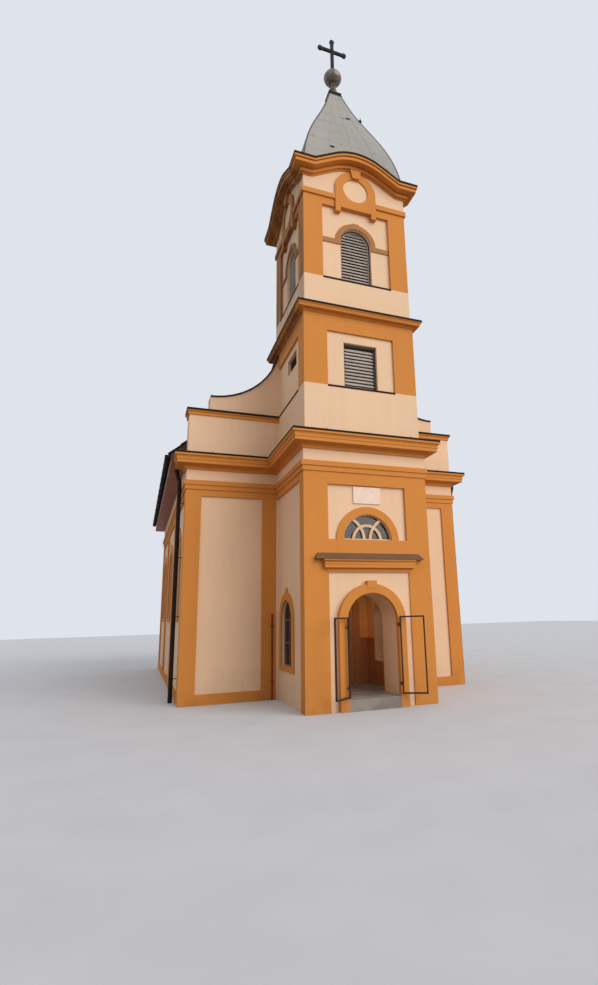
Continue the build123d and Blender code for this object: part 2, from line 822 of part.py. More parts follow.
belfry_louvre_y = tower_mid_y - belfry_core + louvre_setback
belfry_louvre_top = belfry_spring + belfry_louvre_half
belfry_louvre = louvre(belfry_louvre_half, belfry_sill, belfry_spring, belfry_louvre_top, belfry_louvre_y)
with BuildPart() as belfry_louvres:
    add(quarter_turns(belfry_louvre))

# Small barred slots in the sides of the middle storey
with BuildPart() as slot_grilles:
    for side in (-1, 1):
        x = side * (middle_half - middle_recess - louvre_setback)
        near, far = sorted((x, x - side * louvre_depth))
        box(near, far, middle_slot_y - middle_slot_half, middle_slot_y + middle_slot_half,
            middle_slot_bottom, middle_slot_top)
        box(near, far, middle_slot_y - middle_slot_half + louvre_frame,
            middle_slot_y + middle_slot_half - louvre_frame, middle_slot_bottom + louvre_frame,
            middle_slot_top - louvre_frame, Mode.SUBTRACT)
        with BuildSketch(Plane.XZ.offset(-middle_slot_y - middle_slot_half)):
            count = int((middle_slot_top - middle_slot_bottom - louvre_frame) / blade_pitch)
            for number in range(count):
                height = middle_slot_bottom + louvre_frame + (number + 0.5) * blade_pitch
                with Locations(((near + far) / 2, height)):
                    Rectangle(blade_depth, blade_thick, rotation=-side * blade_tilt)
        extrude(amount=2 * middle_slot_half)

with BuildPart() as louvres:
    add([middle_louvres.part, belfry_louvres.part, slot_grilles.part])
save(louvres, "louvres")


# Bell-shaped spire: two crossed outlines give its four curved faces and their hips
spire_half = belfry_half + spire_over


def bell_line(inset):
    """Draw the closed outline of the spire, moved in by the thickness of its shell."""
    points = [(spire_half * share - inset, spire_foot + spire_height * rise) for share, rise in spire_shape]
    mirrored = [(-x, z) for x, z in points]
    Spline(points)
    Spline(mirrored)
    Line(points[0], mirrored[0])
    Line(points[-1], mirrored[-1])


def bell(inset):
    """A solid bell on the tower's axis."""
    with BuildPart() as body:
        with BuildSketch(front_plane(tower_mid_y)):
            with BuildLine():
                bell_line(inset)
            make_face()
        extrude(amount=gable_end_x, both=True)
        with BuildSketch(right_plane(0, tower_mid_y)):
            with BuildLine():
                bell_line(inset)
            make_face()
        extrude(amount=gable_end_x, both=True, mode=Mode.INTERSECT)
    return body.part


with BuildPart() as under_gable:
    with BuildSketch(front_plane(belfry_face_y - gable_cornice_out)):
        with BuildLine():
            gable_line(gable_end_x, seat)
            Polyline((gable_end_x, gable_ear_top + seat), (gable_end_x, belfry_architrave_top),
                     (-gable_end_x, belfry_architrave_top), (-gable_end_x, gable_ear_top + seat))
        make_face()
    extrude(amount=-gable_cornice_out - tympanum_depth)
with BuildPart() as spire:
    add(bell(0))
    add(bell(spire_shell), mode=Mode.SUBTRACT)
    add(quarter_turns(under_gable.part), mode=Mode.SUBTRACT)
save(spire, "spire")

# Collar, neck, ball and cross on the spire
collar_half = spire_half * spire_shape[-1][0] + collar_over
with BuildPart() as finial:
    with BuildSketch(Plane.XY.offset(spire_top)):
        with Locations((0, tower_mid_y)):
            Rectangle(2 * collar_half, 2 * collar_half)
    extrude(amount=collar_height)
    with BuildSketch(Plane.XZ.offset(-tower_mid_y)):
        with BuildLine():
            neck_foot = spire_top + collar_height
            neck_end = ball_z - ball_radius + ball_sink
            neck_rise = neck_end - neck_foot
            foot_radius = 0.85 * collar_half
            Polyline((0, neck_end), (0, neck_foot), (foot_radius, neck_foot))
            Spline((foot_radius, neck_foot), (0.86 * foot_radius, neck_foot + 0.22 * neck_rise),
                   (1.2 * neck_radius, neck_foot + 0.66 * neck_rise), (neck_radius, neck_end))
            Line((neck_radius, neck_end), (0, neck_end))
        make_face()
    revolve(axis=Axis((0, tower_mid_y, 0), (0, 0, 1)))
    with BuildSketch(Plane.XZ.offset(-tower_mid_y)):
        with Locations((0, ball_z)):
            Circle(ball_radius)
        slab(-ball_radius, 0, ball_z - ball_radius, ball_z + ball_radius, Mode.SUBTRACT)
    revolve(axis=Axis((0, tower_mid_y, 0), (0, 0, 1)))
save(finial, "spire_finial")

with BuildPart() as cross:
    with BuildSketch(front_plane(tower_mid_y - cross_thick / 2)):
        slab(-cross_bar / 2, cross_bar / 2, cross_foot, cross_top - cross_knob)
        slab(-cross_arm_half + cross_knob, cross_arm_half - cross_knob, cross_arm_z - cross_bar / 2,
             cross_arm_z + cross_bar / 2)
        with Locations((0, cross_top - cross_knob), (-cross_arm_half + cross_knob, cross_arm_z),
                       (cross_arm_half - cross_knob, cross_arm_z)):
            Circle(cross_knob)
    extrude(amount=-cross_thick)
save(cross, "spire_cross")

# Nave: front wall with the inner doorway, two side walls and a gabled back wall
with BuildPart() as nave_front_wall:
    box(-nave_core_x, nave_core_x, nave_front + nave_recess, gable_back, 0, architrave_bottom)
    box(-tower_half, tower_half, nave_front, nave_front + nave_recess, 0, architrave_bottom)
    box(-nave_half, nave_half, nave_front, gable_back, architrave_bottom, cornice_top)
    with BuildSketch(front_plane(nave_front)):
        arch_outline(inner_door_half, 0, inner_door_spring)
    extrude(amount=nave_front - gable_back, mode=Mode.SUBTRACT)
save(nave_front_wall, "nave_front_wall")


def roof_top(x):
    """Height of the roof's surface at a distance from the ridge."""
    return eave_top + (eave_half - abs(x)) * roof_slope


def roof_under(x):
    """Height of the roof's underside at a distance from the ridge."""
    return roof_top(x) - roof_drop


nave_bay = (nave_back - nave_front - 2 * nave_pilaster) / nave_window_count
nave_bay -= nave_inner_pilaster * (nave_window_count - 1) / nave_window_count
bay_starts = [nave_front + nave_pilaster + number * (nave_bay + nave_inner_pilaster)
              for number in range(nave_window_count)]
nave_window_ys = [start + nave_bay / 2 for start in bay_starts]

with BuildPart() as nave_sides:
    for side in (-1, 1):
        with BuildSketch(Plane.XZ.offset(-gable_back)):
            with BuildLine():
                Polyline((side * nave_inner_x, 0), (side * nave_core_x, 0),
                         (side * nave_core_x, architrave_bottom), (side * nave_half, architrave_bottom),
                         (side * nave_half, roof_under(nave_half)),
                         (side * nave_inner_x, roof_under(nave_inner_x)), close=True)
            make_face()
        extrude(amount=gable_back - nave_back_inner)
    for window_y in nave_window_ys:
        with BuildSketch(right_plane(0, window_y)):
            arch_outline(nave_window_half, nave_window_sill, nave_window_spring)
        extrude(amount=nave_half, both=True, mode=Mode.SUBTRACT)
save(nave_sides, "nave_side_walls")

with BuildPart() as nave_back_wall:
    for half, foot, back in ((nave_core_x, 0, nave_back_core), (nave_half, architrave_bottom, nave_back)):
        with BuildSketch(Plane.XZ.offset(-nave_back_inner)):
            with BuildLine():
                Polyline((-half, foot), (half, foot), (half, roof_under(half)), (0, roof_under(0)),
                         (-half, roof_under(half)), close=True)
            make_face()
        extrude(amount=nave_back_inner - back)
save(nave_back_wall, "nave_back_wall")

# Orange frame of pilasters, plinth and head round the nave's panels
with BuildPart() as nave_frame:
    box(-nave_half, nave_half, nave_front, nave_back, 0, architrave_bottom)
    box(-nave_core_x, nave_core_x, nave_front + nave_recess, nave_back_core, 0, architrave_bottom,
        Mode.SUBTRACT)
    box(-tower_half, tower_half, nave_front, nave_front + nave_recess, 0, architrave_bottom, Mode.SUBTRACT)
    for side in (-1, 1):
        near, far = sorted((side * (tower_half + nave_inner_pilaster), side * (nave_half - nave_pilaster)))
        box(near, far, nave_front, nave_front + nave_recess, plinth_top, nave_panel_top, Mode.SUBTRACT)
    box(-nave_half + nave_pilaster, nave_half - nave_pilaster, nave_back_core, nave_back,
        plinth_top, nave_panel_top, Mode.SUBTRACT)
    for start in bay_starts:
        box(-nave_half, nave_half, start, start + nave_bay, plinth_top, nave_panel_top, Mode.SUBTRACT)
save(nave_frame, "nave_frame")


# Arched windows: three in each side of the nave and one in each side of the tower
def window_surround(x, side, y, half, sill, spring, band):
    """Band, keystone and sill round a window in a side wall."""
    with BuildPart() as ring:
        with BuildSketch(right_plane(x, y)):
            arch_outline(half + band, sill - sill_drop, spring)
            slab(-side_key_half, side_key_half, spring + half, spring + half + band + side_key_rise)
            arch_outline(half, sill, spring, Mode.SUBTRACT)
        extrude(amount=side * window_band_proud)
    return ring.part


def window_bars(x, side, y, half, sill, spring):
    """Frame of a side window with a middle bar and two cross bars."""
    with BuildPart() as bars:
        with BuildSketch(right_plane(x, y)):
            arch_outline(half - seat, sill, spring)
            arch_outline(half - window_frame, sill + window_frame, spring, Mode.SUBTRACT)
            slab(-window_bar / 2, window_bar / 2, sill, spring + half - window_frame / 2)
            slab(-half + window_frame / 2, half - window_frame / 2, spring - window_bar / 2,
                 spring + window_bar / 2)
            middle = (sill + spring) / 2
            slab(-half + window_frame / 2, half - window_frame / 2, middle - window_bar / 2,
                 middle + window_bar / 2)
        extrude(amount=-side * window_bar_depth)
    return bars.part


def window_glass(x, side, y, half, sill, spring):
    """Pane behind the bars of a side window."""
    with BuildPart() as pane:
        with BuildSketch(right_plane(x, y)):
            arch_outline(half - window_frame / 2, sill + window_frame / 2, spring)
        extrude(amount=-side * glass_thick)
    return pane.part


tower_size = (side_window_half, side_window_sill, side_window_spring)
nave_size = (nave_window_half, nave_window_sill, nave_window_spring)
side_windows = [(side * tower_core_x, side, side_window_y, *tower_size) for side in (-1, 1)]
side_windows += [(side * nave_core_x, side, y, *nave_size) for side in (-1, 1) for y in nave_window_ys]

with BuildPart() as surrounds:
    add(lunette_surround.part)
    for x, side, y, half, sill, spring in side_windows:
        add(window_surround(x, side, y, half, sill, spring, side_window_band))
save(surrounds, "window_surrounds")

with BuildPart() as frames:
    add(lunette_window.part)
    for x, side, y, half, sill, spring in side_windows:
        add(window_bars(x - side * window_setback, side, y, half, sill, spring))
save(frames, "window_frames")

with BuildPart() as panes:
    add(lunette_glass.part)
    for x, side, y, half, sill, spring in side_windows:
        add(window_glass(x - side * (window_setback + window_bar_depth), side, y, half, sill, spring))
save(panes, "window_glass")

# Attic beside the tower, its cap, and the curved gables that sweep up to the tower
with BuildPart() as attic_walls:
    for side in (-1, 1):
        near, far = sorted((side * middle_half, side * attic_half))
        box(near, far, nave_front, gable_back, cornice_top, attic_cap_bottom)
save(attic_walls, "attic_walls")

with BuildPart() as attic_caps:
    for side in (-1, 1):
        middle = (attic_cap_bottom + attic_top) / 2
        near, far = sorted((side * middle_half, side * (attic_half + cap_out / 2)))
        box(near, far, nave_front - cap_out / 2, gable_back, attic_cap_bottom, middle)
        near, far = sorted((side * middle_half, side * (attic_half + cap_out)))
        box(near, far, nave_front - cap_out, gable_back, middle, attic_top - flashing)
save(attic_caps, "attic_caps")

with BuildPart() as attic_flashing:
    for side in (-1, 1):
        near, far = sorted((side * middle_half, side * (attic_half + cap_out + lip_over)))
        box(near, far, nave_front - cap_out - lip_over, gable_back, attic_top - flashing, attic_top)

sweep_z = gable_end_top + gable_sweep
with BuildPart() as curved_gables:
    for side in (-1, 1):
        with BuildSketch(front_plane(nave_front + gable_setback)):
            near, far = sorted((side * middle_half, side * gable_end))
            slab(near, far, attic_top, middle_cornice_bottom)
            with Locations((side * gable_end, sweep_z)):
                Circle(gable_sweep, mode=Mode.SUBTRACT)
        extrude(amount=nave_front + gable_setback - gable_back)
save(curved_gables, "curved_gables")

with BuildPart() as gable_copings:
    for side in (-1, 1):
        with BuildSketch(front_plane(nave_front + gable_setback - coping)):
            near, far = sorted((side * middle_half, side * gable_end))
            slab(near, far, attic_top, middle_cornice_bottom)
            with Locations((side * gable_end, sweep_z)):
                Circle(gable_sweep, mode=Mode.INTERSECT)
                Circle(gable_sweep - coping, mode=Mode.SUBTRACT)
        extrude(amount=nave_front + gable_setback - gable_back - 2 * coping)

# Nave roof, cut out round the cornice of the tower's middle storey
cornice_room = middle_half + middle_cornice_out + 2 * lip_over
with BuildPart() as roof:
    with BuildSketch(Plane.XZ.offset(-gable_back)):
        with BuildLine():
            Polyline((0, roof_top(0)), (eave_half, roof_top(eave_half)), (eave_half, roof_under(eave_half)),
                     (0, roof_under(0)), (-eave_half, roof_under(eave_half)), (-eave_half, roof_top(eave_half)),
                     close=True)
        make_face()
    extrude(amount=gable_back - nave_back - roof_overhang)
    square_block(cornice_room, middle_cornice_bottom, middle_cornice_top, Mode.SUBTRACT)
save(roof, "nave_roof")

# Boxed eaves, gutters and rain pipes
with BuildPart() as eaves_boards:
    for side in (-1, 1):
        fascia_x = eave_half - board
        with BuildSketch(Plane.XZ.offset(-gable_back)):
            with BuildLine():
                Polyline((side * nave_half, soffit_z), (side * eave_half, soffit_z),
                         (side * eave_half, roof_under(eave_half)), (side * fascia_x, roof_under(fascia_x)),
                         (side * fascia_x, soffit_z + board), (side * nave_half, soffit_z + board), close=True)
            make_face()
        extrude(amount=gable_back - nave_back - roof_overhang)
        for y in (gable_back, nave_back + roof_overhang - board):
            with BuildSketch(Plane.XZ.offset(-y)):
                with BuildLine():
                    Polyline((side * nave_half, soffit_z), (side * fascia_x, soffit_z),
                             (side * fascia_x, roof_under(fascia_x)), (side * nave_half, roof_under(nave_half)),
                             close=True)
                make_face()
            extrude(amount=-board)
save(eaves_boards, "eaves_boards")

with BuildPart() as gutters:
    for side in (-1, 1):
        with BuildSketch(Plane.XZ.offset(-gable_back)):
            with Locations((side * (eave_half + gutter_radius), gutter_z)):
                Circle(gutter_radius)
                Circle(gutter_radius - gutter_sheet, mode=Mode.SUBTRACT)
            slab(-2 * eave_half, 2 * eave_half, gutter_z, gutter_z + 2 * gutter_radius, Mode.SUBTRACT)
        extrude(amount=gable_back - nave_back - roof_overhang)
        for y in (gable_back, nave_back + roof_overhang - gutter_sheet):
            with BuildSketch(Plane.XZ.offset(-y)):
                with Locations((side * (eave_half + gutter_radius), gutter_z)):
                    Circle(gutter_radius)
                slab(-2 * eave_half, 2 * eave_half, gutter_z, gutter_z + 2 * gutter_radius, Mode.SUBTRACT)
            extrude(amount=-gutter_sheet)
save(gutters, "gutters")

cornice_underside = cornice_bottom + hollow_share * (cornice_lip - cornice_bottom)
with BuildPart() as wall_pipes:
    for side, y, top in ((-1, left_pipe_y, soffit_z), (1, right_pipe_y, cornice_underside)):
        bend_top = top - pipe_bend_drop
        with BuildLine() as pipe_line:
            Polyline((side * pipe_top_x, y, top), (side * pipe_top_x, y, bend_top),
                     (side * pipe_x, y, bend_top - pipe_bend_height), (side * pipe_x, y, 0))
        with BuildSketch(Plane.XY.offset(top)):
            with Locations((side * pipe_top_x, y)):
                Circle(pipe_radius)
        sweep(path=pipe_line.wires()[0], transition=Transition.RIGHT)
    with BuildSketch(Plane.XY):
        with Locations((-conductor_x, nave_front - conductor_radius)):
            Circle(conductor_radius)
    extrude(amount=conductor_top)
save(wall_pipes, "wall_pipes")

# Floors, the step at the entrance and the porch's panelling
with BuildPart() as floor:
    box(-door_half, door_half, -surround_proud, tower_front_wall, 0, porch_floor_top)
    box(-tower_inner_x, tower_inner_x, tower_front_wall, nave_front, 0, porch_floor_top)
    box(-inner_door_half, inner_door_half, nave_front, gable_back, 0, porch_floor_top)
    box(-nave_inner_x, nave_inner_x, gable_back, nave_back_inner, 0, porch_floor_top)
save(floor, "floor")

with BuildPart() as wainscot:
    box(-tower_inner_x, tower_inner_x, tower_front_wall, nave_front, porch_floor_top, wainscot_top)
    box(-tower_inner_x + wainscot_thick, tower_inner_x - wainscot_thick, tower_front_wall + wainscot_thick,
        nave_front - wainscot_thick, porch_floor_top, wainscot_top, Mode.SUBTRACT)
    box(-door_half, door_half, tower_front_wall, tower_mid_y, porch_floor_top, wainscot_top, Mode.SUBTRACT)
    half = inner_door_half + side_window_band
    box(-half, half, tower_mid_y, nave_front, porch_floor_top, wainscot_top, Mode.SUBTRACT)
    box(-tower_inner_x, tower_inner_x, side_window_y - side_window_half, side_window_y + side_window_half,
        side_window_sill, wainscot_top, Mode.SUBTRACT)
save(wainscot, "porch_wainscot")

with BuildPart() as inner_surround:
    with BuildSketch(front_plane(nave_front)):
        arch_outline(inner_door_half + side_window_band, porch_floor_top, inner_door_spring)
        arch_outline(inner_door_half, porch_floor_top, inner_door_spring, Mode.SUBTRACT)
    extrude(amount=window_band_proud)
save(inner_surround, "inner_door_surround")

with BuildPart() as inner_door:
    with BuildSketch(front_plane(nave_front + inner_door_setback)):
        arch_outline(inner_door_half - seat, porch_floor_top, inner_door_spring)
    extrude(amount=-inner_door_thick)
save(inner_door, "inner_door")

# Sheet metal on the sills of the tower's sunk panels
with BuildPart() as panel_sills:
    for half, core, sill, front_half, side_half in (
            (middle_half, middle_half - middle_recess, middle_sill, middle_panel_half, middle_side_panel_half),
            (belfry_half, belfry_core, belfry_sill, belfry_panel_half, belfry_panel_half)):
        for width, depth in ((front_half, half + lip_over), (half + lip_over, side_half)):
            box(-width, width, tower_mid_y - depth, tower_mid_y + depth, sill - sill_flashing_drop,
                sill + thin_flashing)
        square_block(half, sill - sill_flashing_drop, sill, Mode.SUBTRACT)
        square_block(core, sill, sill + thin_flashing, Mode.SUBTRACT)
    box(-middle_half - lip_over, middle_half + lip_over, nave_front - cap_out - lip_over, gable_back + lip_over,
        middle_sill - sill_flashing_drop, middle_sill + thin_flashing, Mode.SUBTRACT)

with BuildPart() as flashings:
    add([main_flashing.part, middle_flashing.part, attic_flashing.part, gable_copings.part,
         gable_flashing.part, panel_sills.part])
save(flashings, "sheet_flashings")

# Pins on the entrance surround that carry the two gate leaves
hinge_y = -surround_proud - hinge_out
with BuildPart() as gate_pins:
    for side in (-1, 1):
        for height in hinge_heights:
            box(side * hinge_x - arm_half, side * hinge_x + arm_half, hinge_y - arm_half, -surround_proud,
                height - arm_thick, height)
            near, far = sorted((side * (hinge_x + arm_half), side * (door_half + pin_foot)))
            box(near, far, -surround_proud - arm_thick, -surround_proud, height - arm_thick, height)
            with Locations((side * hinge_x, hinge_y, height + knuckle_height / 2)):
                Cylinder(pin_radius, knuckle_height)
save(gate_pins, "gate_hinge_pins")


def gate_leaf(side, turn):
    """A gate leaf standing open: an iron frame with two knuckles, turned about its hinge."""
    with BuildPart() as leaf:
        with BuildSketch(front_plane(leaf_bar / 2)):
            slab(leaf_start, leaf_width, leaf_bottom, leaf_top)
            slab(leaf_start + leaf_bar, leaf_width - leaf_bar, leaf_bottom + leaf_bar, leaf_top - leaf_bar,
                 Mode.SUBTRACT)
        extrude(amount=leaf_bar)
        for height in hinge_heights:
            with Locations((0, 0, height + seat + knuckle_height / 2)):
                Cylinder(knuckle_radius, knuckle_height)
            box(0, leaf_start, -pin_radius, pin_radius, height + seat, height + seat + knuckle_height)
            with Locations((0, 0, height + seat + knuckle_height / 2)):
                Cylinder(pin_radius + pin_room, knuckle_height, mode=Mode.SUBTRACT)
    return leaf.part.rotate(Axis.Z, turn).translate((side * hinge_x, hinge_y, 0))


with BuildPart() as left_leaf:
    add(gate_leaf(-1, -leaf_open_left))
save(left_leaf, "left_gate_leaf")

with BuildPart() as right_leaf:
    add(gate_leaf(1, 180 + leaf_open_right))
save(right_leaf, "right_gate_leaf")
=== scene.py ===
# %% [markdown]
# # A village church
# This lesson dresses a small plastered church. The walls, mouldings, roof and gates arrive as a packed
# model that stays exactly where it is. What is added here is a finish on it, a piece that lies on it, such as
# tiles, seams, boards and ironwork, or a corrected copy of one of its nodes.

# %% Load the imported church
import json
import math

import bmesh
import bpy
from mathutils import Matrix, Vector

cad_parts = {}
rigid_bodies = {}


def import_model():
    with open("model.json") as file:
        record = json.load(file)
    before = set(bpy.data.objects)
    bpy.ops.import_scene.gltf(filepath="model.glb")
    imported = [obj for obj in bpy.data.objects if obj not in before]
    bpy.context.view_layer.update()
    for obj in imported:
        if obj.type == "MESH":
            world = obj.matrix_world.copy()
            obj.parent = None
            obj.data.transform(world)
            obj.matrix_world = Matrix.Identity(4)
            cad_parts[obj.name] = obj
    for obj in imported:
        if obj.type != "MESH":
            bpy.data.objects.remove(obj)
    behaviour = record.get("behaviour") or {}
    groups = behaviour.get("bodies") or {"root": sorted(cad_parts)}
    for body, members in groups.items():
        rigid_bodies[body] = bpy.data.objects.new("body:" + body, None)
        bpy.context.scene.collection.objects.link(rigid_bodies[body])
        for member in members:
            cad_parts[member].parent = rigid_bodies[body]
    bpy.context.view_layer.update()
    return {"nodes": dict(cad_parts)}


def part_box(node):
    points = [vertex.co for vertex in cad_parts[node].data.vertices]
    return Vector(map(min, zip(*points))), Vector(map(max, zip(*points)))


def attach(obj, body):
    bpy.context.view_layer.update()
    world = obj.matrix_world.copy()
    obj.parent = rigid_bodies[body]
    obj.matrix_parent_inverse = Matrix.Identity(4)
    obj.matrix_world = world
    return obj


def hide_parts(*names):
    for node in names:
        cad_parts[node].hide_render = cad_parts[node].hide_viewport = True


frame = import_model()
nodes = frame["nodes"]

# %% [markdown]
# The photograph was taken at eye height, left of the entrance, with the camera tilted up. A camera's place
# and turn are easiest to give as directions: where it looks, and which way its right side points. The matrix
# is built from those. The lens shift stands for the photograph having been trimmed a little on one side.

# %% Camera at the photograph's place
image_height = 985
eye = Vector((-4.0953, -9.3647, 1.6315))
yaw, pitch, roll = 0.3682, 0.2315, -0.0267
focal_pixels, centre_right, centre_up = 534.93, 45.21, 2.38

ahead = Vector((math.sin(yaw) * math.cos(pitch), math.cos(yaw) * math.cos(pitch), math.sin(pitch)))
level_right = Vector((math.cos(yaw), -math.sin(yaw), 0))
level_up = level_right.cross(ahead)
right = level_right * math.cos(roll) + level_up * math.sin(roll)
up = -level_right * math.sin(roll) + level_up * math.cos(roll)

camera_data = bpy.data.cameras.new("photo_camera")
camera = bpy.data.objects.new("photo_camera", camera_data)
bpy.context.scene.collection.objects.link(camera)
camera.matrix_world = Matrix((
    (right.x, up.x, -ahead.x, eye.x),
    (right.y, up.y, -ahead.y, eye.y),
    (right.z, up.z, -ahead.z, eye.z),
    (0, 0, 0, 1),
))
sensor_size = 36
camera_data.sensor_width = sensor_size
camera_data.lens = focal_pixels * sensor_size / image_height
camera_data.shift_x = -centre_right / image_height
camera_data.shift_y = -centre_up / image_height
camera_data.clip_end = 200
bpy.context.scene.camera = camera
print("lens", round(camera_data.lens, 2), "mm")

# %% [markdown]
# The light in the photograph is soft and even, and the front gets most of it. A wide soft sun from the front
# right and a plain world do the same. The world is paler to the camera than to the walls, so that the
# backdrop does not overexpose them. A faint warm lamp in the porch stands for the light that many more
# bounces would carry in through its arch.

# %% Light and floor
scene = bpy.context.scene
scene.view_settings.view_transform = "Standard"

sun_data = bpy.data.lights.new("soft_sun", "SUN")
sun_data.energy = 1.89
sun_data.angle = math.radians(50)
sun_data.color = (1.0, 0.965, 0.92)
sun = bpy.data.objects.new("soft_sun", sun_data)
scene.collection.objects.link(sun)
sun.rotation_euler = Vector((-0.42, 0.66, -0.31)).to_track_quat("-Z", "Y").to_euler()


def arithmetic(tree, operation, *values):
    """One step of arithmetic on sockets or plain numbers."""
    step = tree.nodes.new("ShaderNodeMath")
    step.operation = operation
    for socket, value in zip(step.inputs, values):
        if isinstance(value, (int, float)):
            socket.default_value = value
        else:
            tree.links.new(value, socket)
    return step.outputs[0]


def seen_directly(tree):
    """One for the camera's rays and those off metal or through glass, nothing for light on the church."""
    rays = tree.nodes.new("ShaderNodeLightPath").outputs
    camera_or_metal = arithmetic(tree, "MAXIMUM", rays["Is Camera Ray"], rays["Is Glossy Ray"])
    return arithmetic(tree, "MAXIMUM", camera_or_metal, rays["Is Transmission Ray"])


porch_lamp_data = bpy.data.lights.new("porch_fill", "POINT")
porch_lamp_data.energy = 14
porch_lamp_data.shadow_soft_size = 0.35
porch_lamp_data.color = (1.0, 0.86, 0.70)
porch_lamp = bpy.data.objects.new("porch_fill", porch_lamp_data)
scene.collection.objects.link(porch_lamp)
porch_lamp.location = (0.1, 1.15, 2.5)

world = bpy.data.worlds.new("even_sky")
scene.world = world
world.use_nodes = True
sky = world.node_tree
sky.nodes.clear()
dome = sky.nodes.new("ShaderNodeBackground")
dome.inputs["Color"].default_value = (0.89, 0.92, 1.0, 1)
dome.inputs["Strength"].default_value = 0.71
backdrop = sky.nodes.new("ShaderNodeBackground")
backdrop.inputs["Color"].default_value = (0.74, 0.77, 0.83, 1)
backdrop.inputs["Strength"].default_value = 1.0
mix = sky.nodes.new("ShaderNodeMixShader")
sky.links.new(seen_directly(sky), mix.inputs[0])
sky.links.new(dome.outputs[0], mix.inputs[1])
sky.links.new(backdrop.outputs[0], mix.inputs[2])
out = sky.nodes.new("ShaderNodeOutputWorld")
sky.links.new(mix.outputs[0], out.inputs[0])


def deselect():
    """Let go of everything, so that an operator works on the next piece alone."""
    bpy.ops.object.select_all(action="DESELECT")


deselect()
bpy.ops.mesh.primitive_plane_add(size=120, location=(0, 5, -0.002))
floor_sheet = bpy.context.object
floor_sheet.name = "studio_floor"

# %% [markdown]
# Painted plaster is never one flat colour. Rain washes it in soft upright streaks, the lowest half metre is
# splashed dark, and the trowel leaves a fine grain. Shade is painted into it as well: inside the porch the
# walls darken towards the top, and the belfry's left side is darkened along with its grime. All of that can
# be worked out from a point's own place on the wall, so every plaster shares one recipe and differs only in
# its paint, its dirt and its painted shade.

# %% Helpers for finishes
def finish(name, roughness, metallic=0.0):
    """A new material, with its node tree and shader at hand."""
    material = bpy.data.materials.new(name)
    material.use_nodes = True
    shader = material.node_tree.nodes["Principled BSDF"]
    shader.inputs["Roughness"].default_value = roughness
    shader.inputs["Metallic"].default_value = metallic
    return material, material.node_tree, shader


def add_node(tree, kind, **inputs):
    """A node with some of its sockets set."""
    made = tree.nodes.new(kind)
    for key, value in inputs.items():
        made.inputs[key.replace("_", " ")].default_value = value
    return made


def place(tree, scale=(1, 1, 1)):
    """Object coordinates, stretched along each axis."""
    source = tree.nodes.new("ShaderNodeTexCoord")
    mapping = add_node(tree, "ShaderNodeMapping", Scale=scale)
    tree.links.new(source.outputs["Object"], mapping.inputs["Vector"])
    return mapping.outputs["Vector"]


def cloud(tree, size, scale=(1, 1, 1), detail=4.0):
    """Soft noise with patches about the given size in metres."""
    noise = add_node(tree, "ShaderNodeTexNoise", Scale=1 / size, Detail=detail)
    tree.links.new(place(tree, scale), noise.inputs["Vector"])
    return noise.outputs["Fac"]


def spread(tree, value, low, high, to_low, to_high):
    """Map a range of values onto another."""
    span = add_node(tree, "ShaderNodeMapRange")
    span.inputs["From Min"].default_value = low
    span.inputs["From Max"].default_value = high
    span.inputs["To Min"].default_value = to_low
    span.inputs["To Max"].default_value = to_high
    tree.links.new(value, span.inputs["Value"])
    return span.outputs["Result"]


def product(tree, a, b):
    """Two values multiplied."""
    return arithmetic(tree, "MULTIPLY", a, b)


def axes(tree):
    """A point's own place, as three separate numbers."""
    split = tree.nodes.new("ShaderNodeSeparateXYZ")
    tree.links.new(place(tree), split.inputs[0])
    return split.outputs


def inside_box(tree, low, high):
    """One inside a box of space, nothing outside it."""
    spot = axes(tree)
    held = None
    for axis, least, most in zip("XYZ", low, high):
        within = arithmetic(tree, "COMPARE", spot[axis], (least + most) / 2, (most - least) / 2)
        held = within if held is None else product(tree, held, within)
    return held


def blend_paint(tree, amount, a, b):
    """Mix two colours, each a fixed one or a socket."""
    mixer = tree.nodes.new("ShaderNodeMix")
    mixer.data_type = "RGBA"
    tree.links.new(amount, mixer.inputs["Factor"])
    for socket, colour in ((mixer.inputs[6], a), (mixer.inputs[7], b)):
        if isinstance(colour, tuple):
            socket.default_value = (*colour, 1)
        else:
            tree.links.new(colour, socket)
    return mixer.outputs[2]


def shade(colour, factor):
    """A darker or lighter version of a paint."""
    return tuple(min(1.0, c * factor) for c in colour)


def grain(tree, shader, height, depth, strength=0.6):
    """Raise the surface a little by a height pattern."""
    bump = add_node(tree, "ShaderNodeBump", Strength=strength, Distance=depth)
    tree.links.new(height, bump.inputs["Height"])
    tree.links.new(bump.outputs["Normal"], shader.inputs["Normal"])


def linear(red, green, blue):
    """A paint from the 0 to 255 values of a colour picker."""
    return tuple(((c / 255 + 0.055) / 1.055) ** 2.4 for c in (red, green, blue))


# %% Plaster
porch_low, porch_high = (-0.815, 0.645, 0.0), (0.815, 2.125, 5.2)
behind_frame_low, behind_frame_high = (-1.27, 2.10, 6.15), (1.27, 2.30, 7.42)
belfry_left, belfry_corner, belfry_foot = -1.16, 0.085, 7.50
# Inside the porch the walls darken upward between these heights, as painted shade.
porch_shade_starts, porch_shade_full = 1.5, 2.2
splash_full, splash_ends = 0.05, 0.75
cream_paint, orange_paint, ochre_paint = linear(240, 201, 163), linear(214, 136, 56), linear(176, 120, 66)
# Grime together with painted shade, for the belfry's left side, which faces away from the light.
grime_and_shade_paint = linear(74, 60, 50)


def grime_and_shade_side(tree):
    """How much grime and painted shade a spot gets: all of it on the belfry's left side and its ledges, and
    none in front.
    """
    spot = axes(tree)
    left = spread(tree, spot["X"], belfry_left - 0.005, belfry_left + 0.005, 1.0, 0.0)
    past_corner = spread(tree, spot["Y"], belfry_corner, belfry_corner + 0.115, 0.0, 1.0)
    high = spread(tree, spot["Z"], belfry_foot, belfry_foot + 0.30, 0.0, 1.0)
    return product(tree, product(tree, left, past_corner), high)


